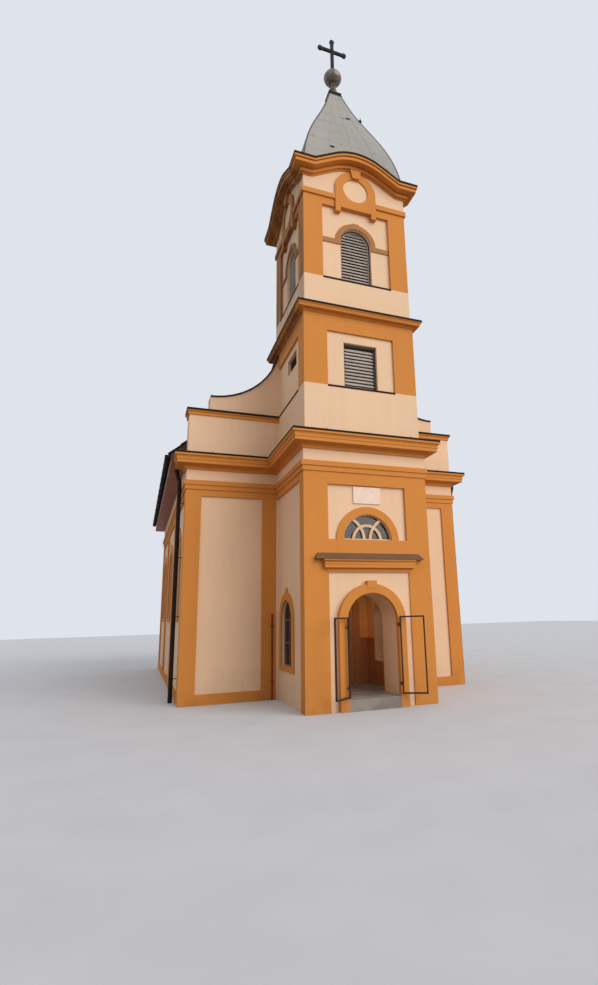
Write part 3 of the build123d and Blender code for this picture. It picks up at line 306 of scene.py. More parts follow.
def plaster(name, paint, splash=0.30, streak=0.10, porch_paint_and_shade=None, grime_and_shade=0.0, strip_paint=None):
    """Painted plaster with patches, rain streaks, a splashed foot, and grime with painted shade on the
    belfry's left side.

    A second paint may cover the walls of the porch, darkening towards the top as painted shade, and a third
    the strip behind the middle storey's frame.
    """
    material, tree, shader = finish(name, 0.85)
    height = axes(tree)["Z"]
    patches = spread(tree, cloud(tree, 1.6), 0.3, 0.7, 0.0, 1.0)
    base = blend_paint(tree, patches, shade(paint, 0.96), shade(paint, 1.03))
    if porch_paint_and_shade:
        # Painted shade: inside the porch the paint darkens towards the top, where little light reaches.
        porch_shade = spread(tree, height, porch_shade_starts, porch_shade_full, 0.0, 1.0)
        porch_shaded_paint = blend_paint(tree, porch_shade, porch_paint_and_shade, shade(porch_paint_and_shade, 0.35))
        base = blend_paint(tree, inside_box(tree, porch_low, porch_high), base, porch_shaded_paint)
    rain = spread(tree, cloud(tree, 0.12, (1, 1, 0.06)), 0.52, 0.72, 0.0, streak)
    washed = blend_paint(tree, rain, base, shade(paint, 0.62))
    spots = spread(tree, cloud(tree, 0.02, detail=6), 0.45, 0.75, 0.0, 0.18)
    spotted = blend_paint(tree, spots, washed, shade(paint, 0.82))
    foot = spread(tree, height, splash_full, splash_ends, splash, 0.0)
    blotches = spread(tree, cloud(tree, 0.25), 0.35, 0.65, 0.2, 1.0)
    dirty = blend_paint(tree, product(tree, foot, blotches), spotted, shade(paint, 0.45))
    # Grime streaks and painted shade darken the belfry's left side and the undersides of its ledges.
    runs = spread(tree, cloud(tree, 0.16, (1, 1, 0.25), 6), 0.35, 0.65, 0.5 * grime_and_shade, 1.2 * grime_and_shade)
    stained = blend_paint(tree, product(tree, grime_and_shade_side(tree), runs), dirty, grime_and_shade_paint)
    if strip_paint:
        strip = inside_box(tree, behind_frame_low, behind_frame_high)
        stained = blend_paint(tree, strip, stained, strip_paint)
    tree.links.new(stained, shader.inputs["Base Color"])
    grain(tree, shader, cloud(tree, 0.006, detail=8), 0.0015)
    return material


# In the porch the cream gives way to an ochre paint, and the orange to a darker orange that is painted shade;
# both darken towards the top as painted shade.
cream = plaster("cream_plaster", cream_paint, porch_paint_and_shade=linear(238, 168, 88), grime_and_shade=0.25)
orange = plaster("orange_plaster", orange_paint, splash=0.35, porch_paint_and_shade=linear(196, 128, 70), grime_and_shade=0.6,
                 strip_paint=cream_paint)
ochre = plaster("ochre_plaster", ochre_paint, streak=0.16, grime_and_shade=0.5)
print("plasters mixed")

# %% [markdown]
# Sheet metal on the ledges and the spire is painted, with a dull sheen and faint weathering. The spire is
# pale grey, the ledges and gutters nearly black, and the little cover over the entrance hood is brown.

# %% Sheet metal and ironwork
rust_brown = linear(98, 66, 50)
ball_foot_z, ball_middle_z, collar_top_z = 15.42, 15.66, 15.040
short_pipe_low, short_pipe_high = (-1.45, 2.0, -0.1), (-1.33, 2.16, 1.9)


def sheet_metal(name, paint, roughness, patch=0.5, worn=0.85, sheen=0.5, rust=0.0):
    """Painted sheet with soft weathering, and a few specks of rust where it is asked for."""
    material, tree, shader = finish(name, roughness)
    shader.inputs["Specular IOR Level"].default_value = sheen
    patches = spread(tree, cloud(tree, patch, (1, 1, 0.35), 6), 0.3, 0.7, 0.0, 1.0)
    base = blend_paint(tree, patches, shade(paint, worn), shade(paint, 1.08))
    specks = spread(tree, cloud(tree, 0.015, detail=8), 0.55, 0.75, 0.0, 0.3)
    base = blend_paint(tree, specks, base, shade(paint, 0.55))
    if rust:
        spots = spread(tree, cloud(tree, 0.10, (1, 1, 0.6), 5), 0.66, 0.70, 0.0, rust)
        base = blend_paint(tree, spots, base, rust_brown)
    tree.links.new(base, shader.inputs["Base Color"])
    dull = spread(tree, cloud(tree, 0.2), 0.3, 0.7, roughness - 0.08, roughness + 0.1)
    tree.links.new(dull, shader.inputs["Roughness"])
    grain(tree, shader, cloud(tree, 0.3, detail=2), 0.004, 0.3)
    return material


dark_sheet = sheet_metal("dark_sheet", linear(44, 33, 27), 0.85, sheen=0.15)
hood_sheet = sheet_metal("hood_sheet", linear(118, 84, 60), 0.65, sheen=0.3)
spire_sheet = sheet_metal("spire_sheet", linear(160, 155, 146), 0.55, 0.9, 0.9, rust=0.7)
hip_sheet = sheet_metal("hip_sheet", linear(88, 84, 82), 0.6, 0.3, sheen=0.3)
black_iron = sheet_metal("black_iron", linear(26, 25, 29), 0.6, 0.1, sheen=0.2)
gate_iron = sheet_metal("gate_iron", linear(62, 36, 28), 0.55, 0.1, sheen=0.3)


def finial_metal(name):
    """Bare grey sheet on the ball and its neck, a dark collar under them, and rust where water gathers."""
    material, tree, shader = finish(name, 0.42, 0.5)
    height = axes(tree)["Z"]
    patches = spread(tree, cloud(tree, 0.12, detail=6), 0.35, 0.65, 0.0, 1.0)
    grey = blend_paint(tree, patches, linear(112, 107, 97), linear(142, 136, 125))
    low_ball = spread(tree, height, ball_foot_z, ball_middle_z, 1.0, 0.0)
    runs = product(tree, low_ball, spread(tree, cloud(tree, 0.06, (1, 1, 0.3)), 0.40, 0.55, 0.0, 1.0))
    rusty = blend_paint(tree, runs, grey, linear(84, 62, 50))
    collar = spread(tree, height, collar_top_z, collar_top_z + 0.006, 1.0, 0.0)
    tree.links.new(blend_paint(tree, collar, rusty, linear(44, 36, 32)), shader.inputs["Base Color"])
    grain(tree, shader, cloud(tree, 0.05, detail=4), 0.003, 0.4)
    return material


finial_sheet = finial_metal("finial_sheet")


def pipe_metal(name):
    """Dark downpipes, and the short pipe beside the tower, which was painted along with the wall."""
    material, tree, shader = finish(name, 0.75)
    shader.inputs["Specular IOR Level"].default_value = 0.2
    patches = spread(tree, cloud(tree, 0.2, (1, 1, 0.3), 5), 0.3, 0.7, 0.0, 1.0)
    dark = blend_paint(tree, patches, linear(38, 28, 24), linear(50, 37, 30))
    painted = blend_paint(tree, patches, linear(122, 64, 34), linear(140, 78, 42))
    beside_tower = inside_box(tree, short_pipe_low, short_pipe_high)
    tree.links.new(blend_paint(tree, beside_tower, dark, painted), shader.inputs["Base Color"])
    grain(tree, shader, cloud(tree, 0.02, detail=5), 0.001, 0.4)
    return material


pipe_sheet = pipe_metal("pipe_sheet")
print("metals mixed")

# %% [markdown]
# Boards show their grain along their length. Stretching the noise along the grain gives the long fibres,
# and a second, finer one gives the pores. The eaves are boarded underneath, and the porch has panelling.

# %% Wood, stone, tile and glass
tower_middle_y, belfry_spring_z, louvre_rim = 1.3, 9.69, 0.325
# The louvres' heads and the small louvres in the tower's sides are darkened as painted shade.
louvre_head_low, louvre_head_high = (-1.0, -1.0, 7.155), (1.0, 1.0, 7.30)
side_slots_low, side_slots_high = (-1.5, 0.5, 6.5), (1.5, 1.8, 7.6)
porch_windows_low, porch_windows_high = (-1.4, 0.5, 0.0), (1.4, 2.0, 2.4)


def louvre_frame_shade(tree):
    """Painted shade: one on the frames round the pale blades and on the small louvres in the tower's sides,
    which lie in shadow.
    """
    spot = axes(tree)
    from_side = arithmetic(tree, "ABSOLUTE", arithmetic(tree, "SUBTRACT", spot["Y"], tower_middle_y))
    from_middle = arithmetic(tree, "MINIMUM", arithmetic(tree, "ABSOLUTE", spot["X"]), from_side)
    over_spring = arithmetic(tree, "MAXIMUM", arithmetic(tree, "SUBTRACT", spot["Z"], belfry_spring_z), 0.0)
    sideways, upward = (arithmetic(tree, "POWER", length, 2.0) for length in (from_middle, over_spring))
    from_centre = arithmetic(tree, "SQRT", arithmetic(tree, "ADD", sideways, upward))
    rim = spread(tree, from_centre, louvre_rim - 0.003, louvre_rim + 0.003, 0.0, 1.0)
    head = inside_box(tree, louvre_head_low, louvre_head_high)
    slots = inside_box(tree, side_slots_low, side_slots_high)
    return arithmetic(tree, "MAXIMUM", arithmetic(tree, "MAXIMUM", rim, head), slots)


def dark_tower_windows(tree):
    """One on the frames of the two small windows beside the porch."""
    return inside_box(tree, porch_windows_low, porch_windows_high)


def wood(name, paint, along, roughness=0.55, dark_part=None, dark_paint_and_shade=None):
    """Stained boards with the grain along one axis, and perhaps a darker part: painted shade on the louvre
    frames, darker frames on the windows beside the porch.
    """
    material, tree, shader = finish(name, roughness)
    stretch = [1.0, 1.0, 1.0]
    stretch[along] = 0.05
    fibres = spread(tree, cloud(tree, 0.012, tuple(stretch), 8), 0.3, 0.7, 0.0, 1.0)
    base = blend_paint(tree, fibres, shade(paint, 0.7), shade(paint, 1.25))
    stains = spread(tree, cloud(tree, 0.6), 0.4, 0.7, 0.0, 0.35)
    stained = blend_paint(tree, stains, base, shade(paint, 0.5))
    if dark_part:
        dark = blend_paint(tree, fibres, shade(dark_paint_and_shade, 0.8), shade(dark_paint_and_shade, 1.2))
        stained = blend_paint(tree, dark_part(tree), stained, dark)
    tree.links.new(stained, shader.inputs["Base Color"])
    grain(tree, shader, fibres, 0.001, 0.5)
    return material


panelling = wood("brown_wood", linear(186, 122, 76), 2)
eaves_wood = wood("eaves_wood", linear(156, 84, 38), 1)
# The louvre frames are darkened as painted shade; the blades stay pale.
louvre_wood = wood("dark_wood", linear(204, 194, 182), 0, 0.55, louvre_frame_shade, linear(62, 50, 42))
window_paint = wood("cream_paint", linear(222, 186, 140), 2, 0.45, dark_tower_windows, linear(112, 86, 70))


def stone(name, paint, vein, size, roughness, fleck=0.4):
    """Stone with cloudy veins and dark flecks."""
    material, tree, shader = finish(name, roughness)
    veins = spread(tree, cloud(tree, size, detail=10), 0.42, 0.58, 0.0, 1.0)
    base = blend_paint(tree, veins, paint, vein)
    specks = spread(tree, cloud(tree, 0.004, detail=4), 0.55, 0.7, 0.0, fleck)
    tree.links.new(blend_paint(tree, specks, base, shade(paint, 0.7)), shader.inputs["Base Color"])
    grain(tree, shader, cloud(tree, 0.01, detail=6), 0.0005, 0.4)
    return material


marble = stone("pink_marble", linear(240, 210, 186), linear(233, 200, 175), 0.08, 0.4, 0.12)
floor_stone = stone("floor_stone", linear(150, 138, 126), linear(128, 118, 108), 0.3, 0.8)


def fired_clay(name, paint):
    """Weathered roof tile, each with its own tone."""
    material, tree, shader = finish(name, 0.8)
    cells = add_node(tree, "ShaderNodeTexVoronoi", Scale=1.0)
    tree.links.new(place(tree, (3.0, 4.13, 3.2)), cells.inputs["Vector"])
    tone = tree.nodes.new("ShaderNodeSeparateColor")
    tree.links.new(cells.outputs["Color"], tone.inputs[0])
    base = blend_paint(tree, tone.outputs[0], shade(paint, 0.75), shade(paint, 1.3))
    lichen = spread(tree, cloud(tree, 0.09, detail=8), 0.55, 0.72, 0.0, 0.6)
    tree.links.new(blend_paint(tree, lichen, base, linear(92, 86, 70)), shader.inputs["Base Color"])
    grain(tree, shader, cloud(tree, 0.008, detail=6), 0.001)
    return material


roof_clay = fired_clay("roof_tiles", linear(74, 56, 48))


def pane_glass(name):
    """Dark, slightly uneven glass, because the rooms behind it are unlit."""
    material, tree, shader = finish(name, 0.08)
    shader.inputs["Base Color"].default_value = (*linear(42, 24, 18), 1)
    shader.inputs["Alpha"].default_value = 0.80
    grain(tree, shader, cloud(tree, 0.25, detail=1), 0.003, 0.4)
    return material


glass = pane_glass("window_glass")

floor_paint, floor_tree, floor_shader = finish("pale_floor", 0.9)
speckle = spread(floor_tree, cloud(floor_tree, 0.8), 0.3, 0.7, 0.0, 1.0)
pale = blend_paint(floor_tree, speckle, (0.60, 0.60, 0.60), (0.64, 0.64, 0.64))
floor_tree.links.new(
    blend_paint(floor_tree, seen_directly(floor_tree), (0.24, 0.22, 0.19), pale),
    floor_shader.inputs["Base Color"])
floor_sheet.data.materials.append(floor_paint)
print("materials mixed:", len(bpy.data.materials))

# %% [markdown]
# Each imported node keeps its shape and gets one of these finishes. A small table says which, so that a
# change of paint is a change of one word. Two of them, the ball and the hood's moulding, are shown by a
# corrected copy, made further down.

# %% Give every node its finish
wearing = {
    cream: ["attic_walls", "belfry_walls", "curved_gables", "middle_storey_walls", "nave_back_wall",
            "nave_front_wall", "nave_side_walls", "tower_front_piers", "tower_front_wall",
            "tower_side_walls"],
    orange: ["attic_caps", "belfry_frame", "belfry_medallions", "door_hood", "door_surround", "gable_cornice",
             "inner_door_surround", "main_architrave", "main_cornice", "middle_cornice",
             "middle_storey_frame", "nave_frame", "tower_base_frame", "window_surrounds"],
    ochre: ["belfry_surrounds"],
    dark_sheet: ["gutters", "sheet_flashings"],
    pipe_sheet: ["wall_pipes"],
    finial_sheet: ["spire_finial"],
    hood_sheet: ["door_hood_cover"],
    spire_sheet: ["spire"],
    black_iron: ["spire_cross"],
    gate_iron: ["gate_hinge_pins", "left_gate_leaf", "right_gate_leaf"],
    panelling: ["inner_door", "porch_wainscot"],
    eaves_wood: ["eaves_boards"],
    louvre_wood: ["louvres"],
    window_paint: ["window_frames"],
    glass: ["window_glass"],
    marble: ["marble_plaque"],
    floor_stone: ["floor"],
    roof_clay: ["nave_roof"],
}
for material, names in wearing.items():
    for name in names:
        nodes[name].data.materials.clear()
        nodes[name].data.materials.append(material)
left_bare = set(nodes) - {name for names in wearing.values() for name in names}
print("nodes without a finish:", sorted(left_bare))

# %% [markdown]
# The added pieces are made alike. A primitive is shaped, repeated, copied or mirrored, joined with its like,
# and at last settled: its place goes into its mesh, and it gets its finish.

# %% Helpers for pieces
def start(name):
    """Name the primitive just added and go into edit mode with nothing picked."""
    piece = bpy.context.object
    piece.name = name
    bpy.ops.object.mode_set(mode="EDIT")
    bpy.ops.mesh.select_all(action="DESELECT")
    return piece


def settle(piece, material, body="church"):
    """Put a finished piece's place into its mesh, paint it and say what it rides on."""
    if bpy.context.object and bpy.context.object.mode == "EDIT":
        bpy.ops.object.mode_set(mode="OBJECT")
    deselect()
    piece.select_set(True)
    bpy.context.view_layer.objects.active = piece
    bpy.ops.object.transform_apply(location=True, rotation=True, scale=True)
    piece.data.materials.clear()
    piece.data.materials.append(material)
    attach(piece, body)
    return piece


def apply_modifier(piece, kind, **values):
    """Add a modifier, set it and apply it at once."""
    modifier = piece.modifiers.new(kind.lower(), kind)
    for key, value in values.items():
        setattr(modifier, key, value)
    bpy.context.view_layer.objects.active = piece
    bpy.ops.object.modifier_apply(modifier=modifier.name)


def plank(name, low, high, ease=0.003):
    """A board or bar between two corners, with its edges eased."""
    low, high = Vector(low), Vector(high)
    deselect()
    bpy.ops.mesh.primitive_cube_add(size=1, location=(low + high) / 2, scale=high - low)
    bpy.ops.object.transform_apply(location=True, rotation=True, scale=True)
    board = start(name)
    bpy.ops.mesh.select_all(action="SELECT")
    bpy.ops.mesh.bevel(offset=ease, segments=1, affect="EDGES")
    bpy.ops.object.mode_set(mode="OBJECT")
    return board


def bent_strip(name, steps, shape, thickness, lanes=1, closed=False):
    """A strip of sheet, its points placed by a function of two shares, then given a thickness."""
    deselect()
    bpy.ops.mesh.primitive_grid_add(x_subdivisions=steps, y_subdivisions=lanes, size=1)
    strip = start(name)
    mesh = bmesh.from_edit_mesh(strip.data)
    for vertex in mesh.verts:
        vertex.co = shape(vertex.co.x + 0.5, vertex.co.y + 0.5)
    bmesh.update_edit_mesh(strip.data)
    if closed:
        bpy.ops.mesh.select_all(action="SELECT")
        bpy.ops.mesh.remove_doubles(threshold=0.0001)
    bpy.ops.object.mode_set(mode="OBJECT")
    apply_modifier(strip, "SOLIDIFY", thickness=thickness, offset=0)
    return strip


def turned(name, profile, centre, steps=16):
    """Spin a profile of radius and height about an upright axis."""
    deselect()
    bpy.ops.mesh.primitive_plane_add(size=1)
    piece = start(name)
    mesh = bmesh.from_edit_mesh(piece.data)
    bmesh.ops.delete(mesh, geom=list(mesh.verts), context="VERTS")
    points = [mesh.verts.new((radius, 0, height)) for radius, height in profile]
    for first, second in zip(points, points[1:]):
        mesh.edges.new((first, second))
    bmesh.update_edit_mesh(piece.data)
    bpy.ops.mesh.select_all(action="SELECT")
    bpy.ops.mesh.spin(steps=steps, angle=math.tau, center=(0, 0, 0), axis=(0, 0, 1))
    bpy.ops.mesh.select_all(action="SELECT")
    bpy.ops.mesh.remove_doubles(threshold=0.00005)
    bpy.ops.mesh.normals_make_consistent(inside=False)
    bpy.ops.object.mode_set(mode="OBJECT")
    bpy.ops.object.shade_smooth_by_angle(angle=math.radians(35))
    piece.data.transform(Matrix.Translation(centre))
    return piece


def join(pieces, name):
    """Make several meshes into one piece."""
    deselect()
    for piece in pieces:
        piece.select_set(True)
    bpy.context.view_layer.objects.active = pieces[0]
    bpy.ops.object.join()
    joined = bpy.context.object
    joined.name = name
    return joined


def copied(piece, matrix):
    """A copy of a piece with its own mesh, moved by a matrix and turned right side out."""
    deselect()
    piece.select_set(True)
    bpy.context.view_layer.objects.active = piece
    bpy.ops.object.duplicate()
    twin = bpy.context.object
    twin.data.transform(matrix)
    if matrix.determinant() < 0:
        twin.data.flip_normals()
    return twin


def merged_copy(node, name):
    """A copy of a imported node, its loose triangles merged into one skin."""
    twin = copied(nodes[node], Matrix.Identity(4))
    start(name)
    bpy.ops.mesh.select_all(action="SELECT")
    bpy.ops.mesh.remove_doubles(threshold=0.0001)
    bpy.ops.object.mode_set(mode="OBJECT")
    return twin


mirror_x = Matrix.Scale(-1, 4, (1, 0, 0))


def both_sides(piece):
    """Add a mirrored copy on the church's left, and join the two."""
    return join([piece, copied(piece, mirror_x)], piece.name)


def row(piece, count, step):
    """Repeat a piece a number of times by a step."""
    apply_modifier(piece, "ARRAY", count=count, use_relative_offset=False, use_constant_offset=True,
                   constant_offset_displace=step)
    return piece


# %% [markdown]
# The roof is covered with small curved clay tiles. One tile is a strip of a grid, bent into a shallow wave
# and given a thickness. Two array modifiers lay it along the eaves and up the slope, with each course
# resting on the one below. The other slope is a mirrored copy.

# %% Roof tiles
eave_x, eave_z, slope = 3.58, 5.214, math.radians(42)
roof_start, roof_end = 2.556, 11.995
ridge_z = eave_z + eave_x * math.tan(slope)
slope_length = eave_x / math.cos(slope)
courses, columns = 14, 39
course = slope_length / courses
column = (roof_end - roof_start) / columns
tile_thick, wave, tile_lift = 0.014, 0.014, 0.022
course_lap, column_lap = 1.22, 1.04
tile_margin = 0.02
cornice_x, cornice_y, cornice_low, cornice_high = 1.44, 2.74, 7.70, 7.97

deselect()
bpy.ops.mesh.primitive_grid_add(x_subdivisions=1, y_subdivisions=6, size=1)
tiles = start("roof_tiles")
mesh = bmesh.from_edit_mesh(tiles.data)
for vertex in mesh.verts:
    along = (vertex.co.x + 0.5) * (course * course_lap)
    across = (vertex.co.y + 0.5) * (column * column_lap)
    lift = tile_lift * (1 - (vertex.co.x + 0.5)) + wave * math.cos((vertex.co.y + 0.5) * math.tau)
    vertex.co = (along, across, lift + wave + tile_thick)
bmesh.update_edit_mesh(tiles.data)
bpy.ops.object.mode_set(mode="OBJECT")
apply_modifier(tiles, "SOLIDIFY", thickness=tile_thick, offset=-1)
row(tiles, courses, (course, 0, 0))
row(tiles, columns, (0, column, 0))
overhang = 0.03
climb = Vector((-math.cos(slope), 0, math.sin(slope)))
across = Vector((0, 1, 0))
out_of_roof = Vector((math.sin(slope), 0, math.cos(slope)))
foot = Vector((eave_x, roof_start, eave_z)) - climb * overhang
tiles.data.transform(Matrix((
    (climb.x, across.x, out_of_roof.x, foot.x),
    (climb.y, across.y, out_of_roof.y, foot.y),
    (climb.z, across.z, out_of_roof.z, foot.z),
    (0, 0, 0, 1),
)))
tiles.data.update()
bpy.ops.object.mode_set(mode="EDIT")
mesh = bmesh.from_edit_mesh(tiles.data)
mesh.select_mode = {"VERT"}
for vertex in mesh.verts:
    spot = vertex.co
    over_ridge = spot.x < tile_margin
    past_end = spot.y > roof_end + tile_margin
    in_cornice = spot.x < cornice_x and spot.y < cornice_y and cornice_low < spot.z < cornice_high
    vertex.select = over_ridge or past_end or in_cornice
mesh.select_flush_mode()
bmesh.update_edit_mesh(tiles.data)
bpy.ops.mesh.select_linked()
bpy.ops.mesh.delete(type="VERT")
bpy.ops.mesh.select_all(action="SELECT")
bpy.ops.mesh.normals_make_consistent(inside=False)
bpy.ops.object.mode_set(mode="OBJECT")
left_tiles = copied(tiles, mirror_x)
left_tiles.name = "roof_tiles_left"
settle(tiles, roof_clay)
settle(left_tiles, roof_clay)
print("tiles:", len(tiles.data.polygons) * 2, "faces")

# %% [markdown]
# Half-round tiles close the ridge. One is the upper half of a pipe, wider at its mouth so that it laps over
# its neighbour, repeated along the ridge.

# %% Ridge tiles
ridge_step, ridge_radius, ridge_length, ridge_thick = 0.35, 0.12, 0.40, 0.015
mouth_wider, mouth_rise, first_ridge_tile = 1.14, 0.004, 0.21
ridge_count = int((roof_end - roof_start) / ridge_step)
deselect()
bpy.ops.mesh.primitive_cylinder_add(vertices=16, radius=ridge_radius, depth=ridge_length,
                                    end_fill_type="NOTHING", rotation=(math.radians(90), 0, 0))
ridge_tiles = start("ridge_tiles")
bpy.ops.object.mode_set(mode="OBJECT")
bpy.ops.object.transform_apply(rotation=True)
bpy.ops.object.mode_set(mode="EDIT")
bpy.ops.mesh.select_all(action="SELECT")
bpy.ops.mesh.bisect(plane_co=(0, 0, 0), plane_no=(0, 0, 1), clear_inner=True)
mesh = bmesh.from_edit_mesh(ridge_tiles.data)
for vertex in mesh.verts:
    if vertex.co.y < 0:
        vertex.co.x *= mouth_wider
        vertex.co.z = vertex.co.z * mouth_wider + mouth_rise
bmesh.update_edit_mesh(ridge_tiles.data)
bpy.ops.object.mode_set(mode="OBJECT")
apply_modifier(ridge_tiles, "SOLIDIFY", thickness=ridge_thick, offset=-1)
row(ridge_tiles, ridge_count, (0, ridge_step, 0))
ridge_tiles.data.transform(Matrix.Translation((0, roof_start + first_ridge_tile, ridge_z - ridge_thick)))
settle(ridge_tiles, roof_clay)
print("ridge tiles:", ridge_count)

# %% [markdown]
# The spire is covered with sheets that lap over each other. A sheet's edge is folded over its neighbour's
# into a thin raised seam, and a capping strip closes each hip. A seam is a narrow strip of a grid, laid along
# the bell's curve and given a thickness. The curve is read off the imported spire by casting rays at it, so
# that a seam lies on the face that carries it, whatever the spire's shape.

# %% Spire seams
tower_axis = Vector((0, tower_middle_y, 0))
spire_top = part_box("spire")[1][2]
hump_top = 11.83
ray_start, beside_middle = -3, 0.2
seam_width, seam_proud = 0.012, 0.004
bpy.context.view_layer.update()


def spire_half(height):
    """Half the spire's width at a height, read beside the middle of its left face."""
    found, spot = nodes["spire"].ray_cast(Vector((ray_start, beside_middle, height)), Vector((1, 0, 0)))[:2]
    return -spot.x if found else tower_axis.y - beside_middle


def spire_front(height):
    """Half the spire's width at a height, read in the middle of its front face."""
    spot = nodes["spire"].ray_cast(Vector((0.01, ray_start, height)), Vector((0, 1, 0)))[1]
    return tower_axis.y - spot.y


def upright_seam(share):
    """A seam up the front face at a share of its half width."""
    def shape(u, w):
        height = hump_top + u * (spire_top - 0.01 - hump_top)
        half = spire_front(height)
        return Vector((share * half + (0.5 - w) * seam_width, tower_axis.y - half - 0.002, height))
    return bent_strip("seam", 24, shape, seam_proud)


def level_lap(height):
    """A lap across the front face at a height."""
    def shape(u, w):
        level = height + (w - 0.5) * seam_width
        half = spire_front(level)
        return Vector(((u - 0.5) * 2 * half, tower_axis.y - half - 0.001, level))
    return bent_strip("lap", 1, shape, 0.5 * seam_proud)


def round_tower(angle):
    """A turn by an angle about the tower's upright axis."""
    return Matrix.Translation(tower_axis) @ Matrix.Rotation(angle, 4, "Z") @ Matrix.Translation(-tower_axis)


def four_sides(piece):
    """Copy a piece of the tower's front to its other three sides, and join them all."""
    turns = [round_tower(math.radians(90 * quarter)) for quarter in (1, 2, 3)]
    return join([piece] + [copied(piece, turn) for turn in turns], piece.name)


seams = [upright_seam(share) for share in (-0.5, 0.0, 0.5)]
first_lap, lap_step = hump_top + 0.12, 0.46
laps = [level_lap(first_lap + lap_step * number) for number in range(7)]
spire_seams = four_sides(join(seams + laps, "spire_seams"))
settle(spire_seams, spire_sheet)

# %% Spire hips
hip_reach, hip_foot = 0.030, 11.42


def hip(u, w):
    """The capping strip over the spire's front left hip."""
    height = hip_foot + u * (spire_top - 0.004 - hip_foot)
    half = spire_front(height) if height > hump_top else spire_half(height)
    along = (w - 0.5) * 2 * hip_reach
    return Vector((-half - 0.001 + max(0, along), tower_axis.y - half - 0.001 + max(0, -along), height))


spire_hips = four_sides(bent_strip("spire_hips", 40, hip, 0.006, lanes=2))
settle(spire_hips, hip_sheet)
print("spire seams and hips:", len(spire_seams.data.polygons) + len(spire_hips.data.polygons), "faces")

# %% [markdown]
# A dark collar of sheet closes the top of the spire under its ball. Further down, a few iron hooks stand out
# of the sheets, on which a roofer hangs a ladder. Each is a flat bar that comes out of the roof and curls up.

# %% Spire collar and ladder hooks
collar_drop = 0.085
hook_wide, hook_turn = 0.10, math.radians(130)
hip_curl, face_curl = 0.038, 0.022
hip_hook_height = 13.88
face_hooks = [(0.31, 13.80), (-0.43, 12.18)]


def collar(u, w):
    """The collar's front, round the top of the spire."""
    height = spire_top - 0.004 - collar_drop * (1 - w)
    half = spire_front(height) + 0.006
    return Vector(((u - 0.5) * 2 * half, tower_axis.y - half, height))


def ladder_hook(spot, outward, curl_radius):
    """A flat hook that leaves the sheet at a spot and curls upward."""
    sideways = outward.cross(Vector((0, 0, 1)))

    def curl(u, w):
        turn = u * hook_turn
        out, rise = curl_radius * math.sin(turn) - 0.01, curl_radius * (1 - math.cos(turn))
        return spot + outward * out + Vector((0, 0, rise)) + sideways * (w - 0.5) * hook_wide

    return bent_strip("hook", 8, curl, 0.008)


settle(four_sides(bent_strip("spire_collar", 1, collar, 0.008)), black_iron)
hooks = []
for share, height in face_hooks:
    half = spire_front(height)
    spot = Vector((share * half, tower_axis.y - half, height))
    hooks.append(ladder_hook(spot, Vector((0, -1, 0)), face_curl))
face_set = four_sides(join(hooks, "ladder_hooks"))
half = spire_front(hip_hook_height)
hip_spot, hip_outward = Vector((half, tower_axis.y - half, hip_hook_height)), Vector((1, -1, 0)).normalized()
hip_hook = ladder_hook(hip_spot, hip_outward, hip_curl)
hip_pair = [hip_hook, copied(hip_hook, round_tower(math.pi))]
settle(join([face_set] + hip_pair, "ladder_hooks"), black_iron)
print("ladder hooks:", 4 * len(face_hooks) + len(hip_pair))

# %% [markdown]
# In the photograph the ball under the cross is lower than it is wide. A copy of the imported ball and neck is
# merged, and the ball is squeezed about its middle. The top of the neck rises with the ball's underside, so
# the two stay joined. The copy's stored normals belong to the old shape, so they are cleared.

# %% Beaten ball
ball_radius, ball_wide_share, ball_tall_share = 0.225, 1.05, 0.82
neck_radius, neck_joint_share = 0.071, 0.958
ball_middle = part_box("spire_finial")[1][2] - ball_radius
beaten_ball = merged_copy("spire_finial", "beaten_ball")
for vertex in beaten_ball.data.vertices:
    if vertex.co.z > ball_middle - neck_joint_share * ball_radius:
        vertex.co.z = ball_middle + ball_tall_share * (vertex.co.z - ball_middle)
        out = Vector((vertex.co.x, vertex.co.y - tower_axis.y))
        if out.length > neck_radius:
            vertex.co.x, vertex.co.y = out.x * ball_wide_share, tower_axis.y + out.y * ball_wide_share
beaten_ball.data.update()
bpy.ops.mesh.customdata_custom_splitnormals_clear()
bpy.ops.object.shade_smooth_by_angle(angle=math.radians(35))
settle(beaten_ball, finial_sheet)
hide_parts("spire_finial")
print("ball:", len(beaten_ball.data.polygons), "faces")

# %% [markdown]
# The cross stands in a small flanged socket on the ball, and its arms meet under five rivets. Both are turned
# shapes: a ring's profile spun about an upright axis, and the rounded head of a rivet.

# %% Cross socket and rivets
cross_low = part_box("spire_cross")[0]
arm_z, cross_front = cross_low[2] + 0.69, cross_low[1]
flange_z = -ball_radius * (1 - ball_tall_share)
socket_profile = [(0.0, flange_z - 0.012), (0.10, flange_z - 0.022), (0.104, flange_z - 0.006),
                  (0.062, flange_z + 0.006), (0.052, 0.05), (0.0, 0.055)]
settle(turned("cross_socket", socket_profile, Vector((0, tower_axis.y, cross_low[2])), 24),
       black_iron)

rivet_profile = [(0.0, 0.009), (0.006, 0.0075), (0.0105, 0.003), (0.012, 0.0), (0.0, -0.002)]
rivet = turned("rivet", rivet_profile, Vector((0, 0, 0)), 10)
rivet.data.transform(Matrix.Rotation(math.radians(90), 4, "X"))
rivet_reach = 0.024
rivet_places = [(-rivet_reach, 0), (rivet_reach, 0), (0, -rivet_reach), (0, rivet_reach)]
heads = [rivet] + [copied(rivet, Matrix.Translation((x, 0, z))) for x, z in rivet_places]
cross_rivets = join(heads, "cross_rivets")
cross_rivets.data.transform(Matrix.Translation((0, cross_front, arm_z)))
settle(cross_rivets, black_iron)
print("rivets:", len(heads))

# %% [markdown]
# The moulding under the entrance hood stops short of the sheet that covers it, so the sheet throws a shadow
# on it in front and at both ends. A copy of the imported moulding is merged, then its ends and its front are
# drawn in, and the copy stands in for the original.

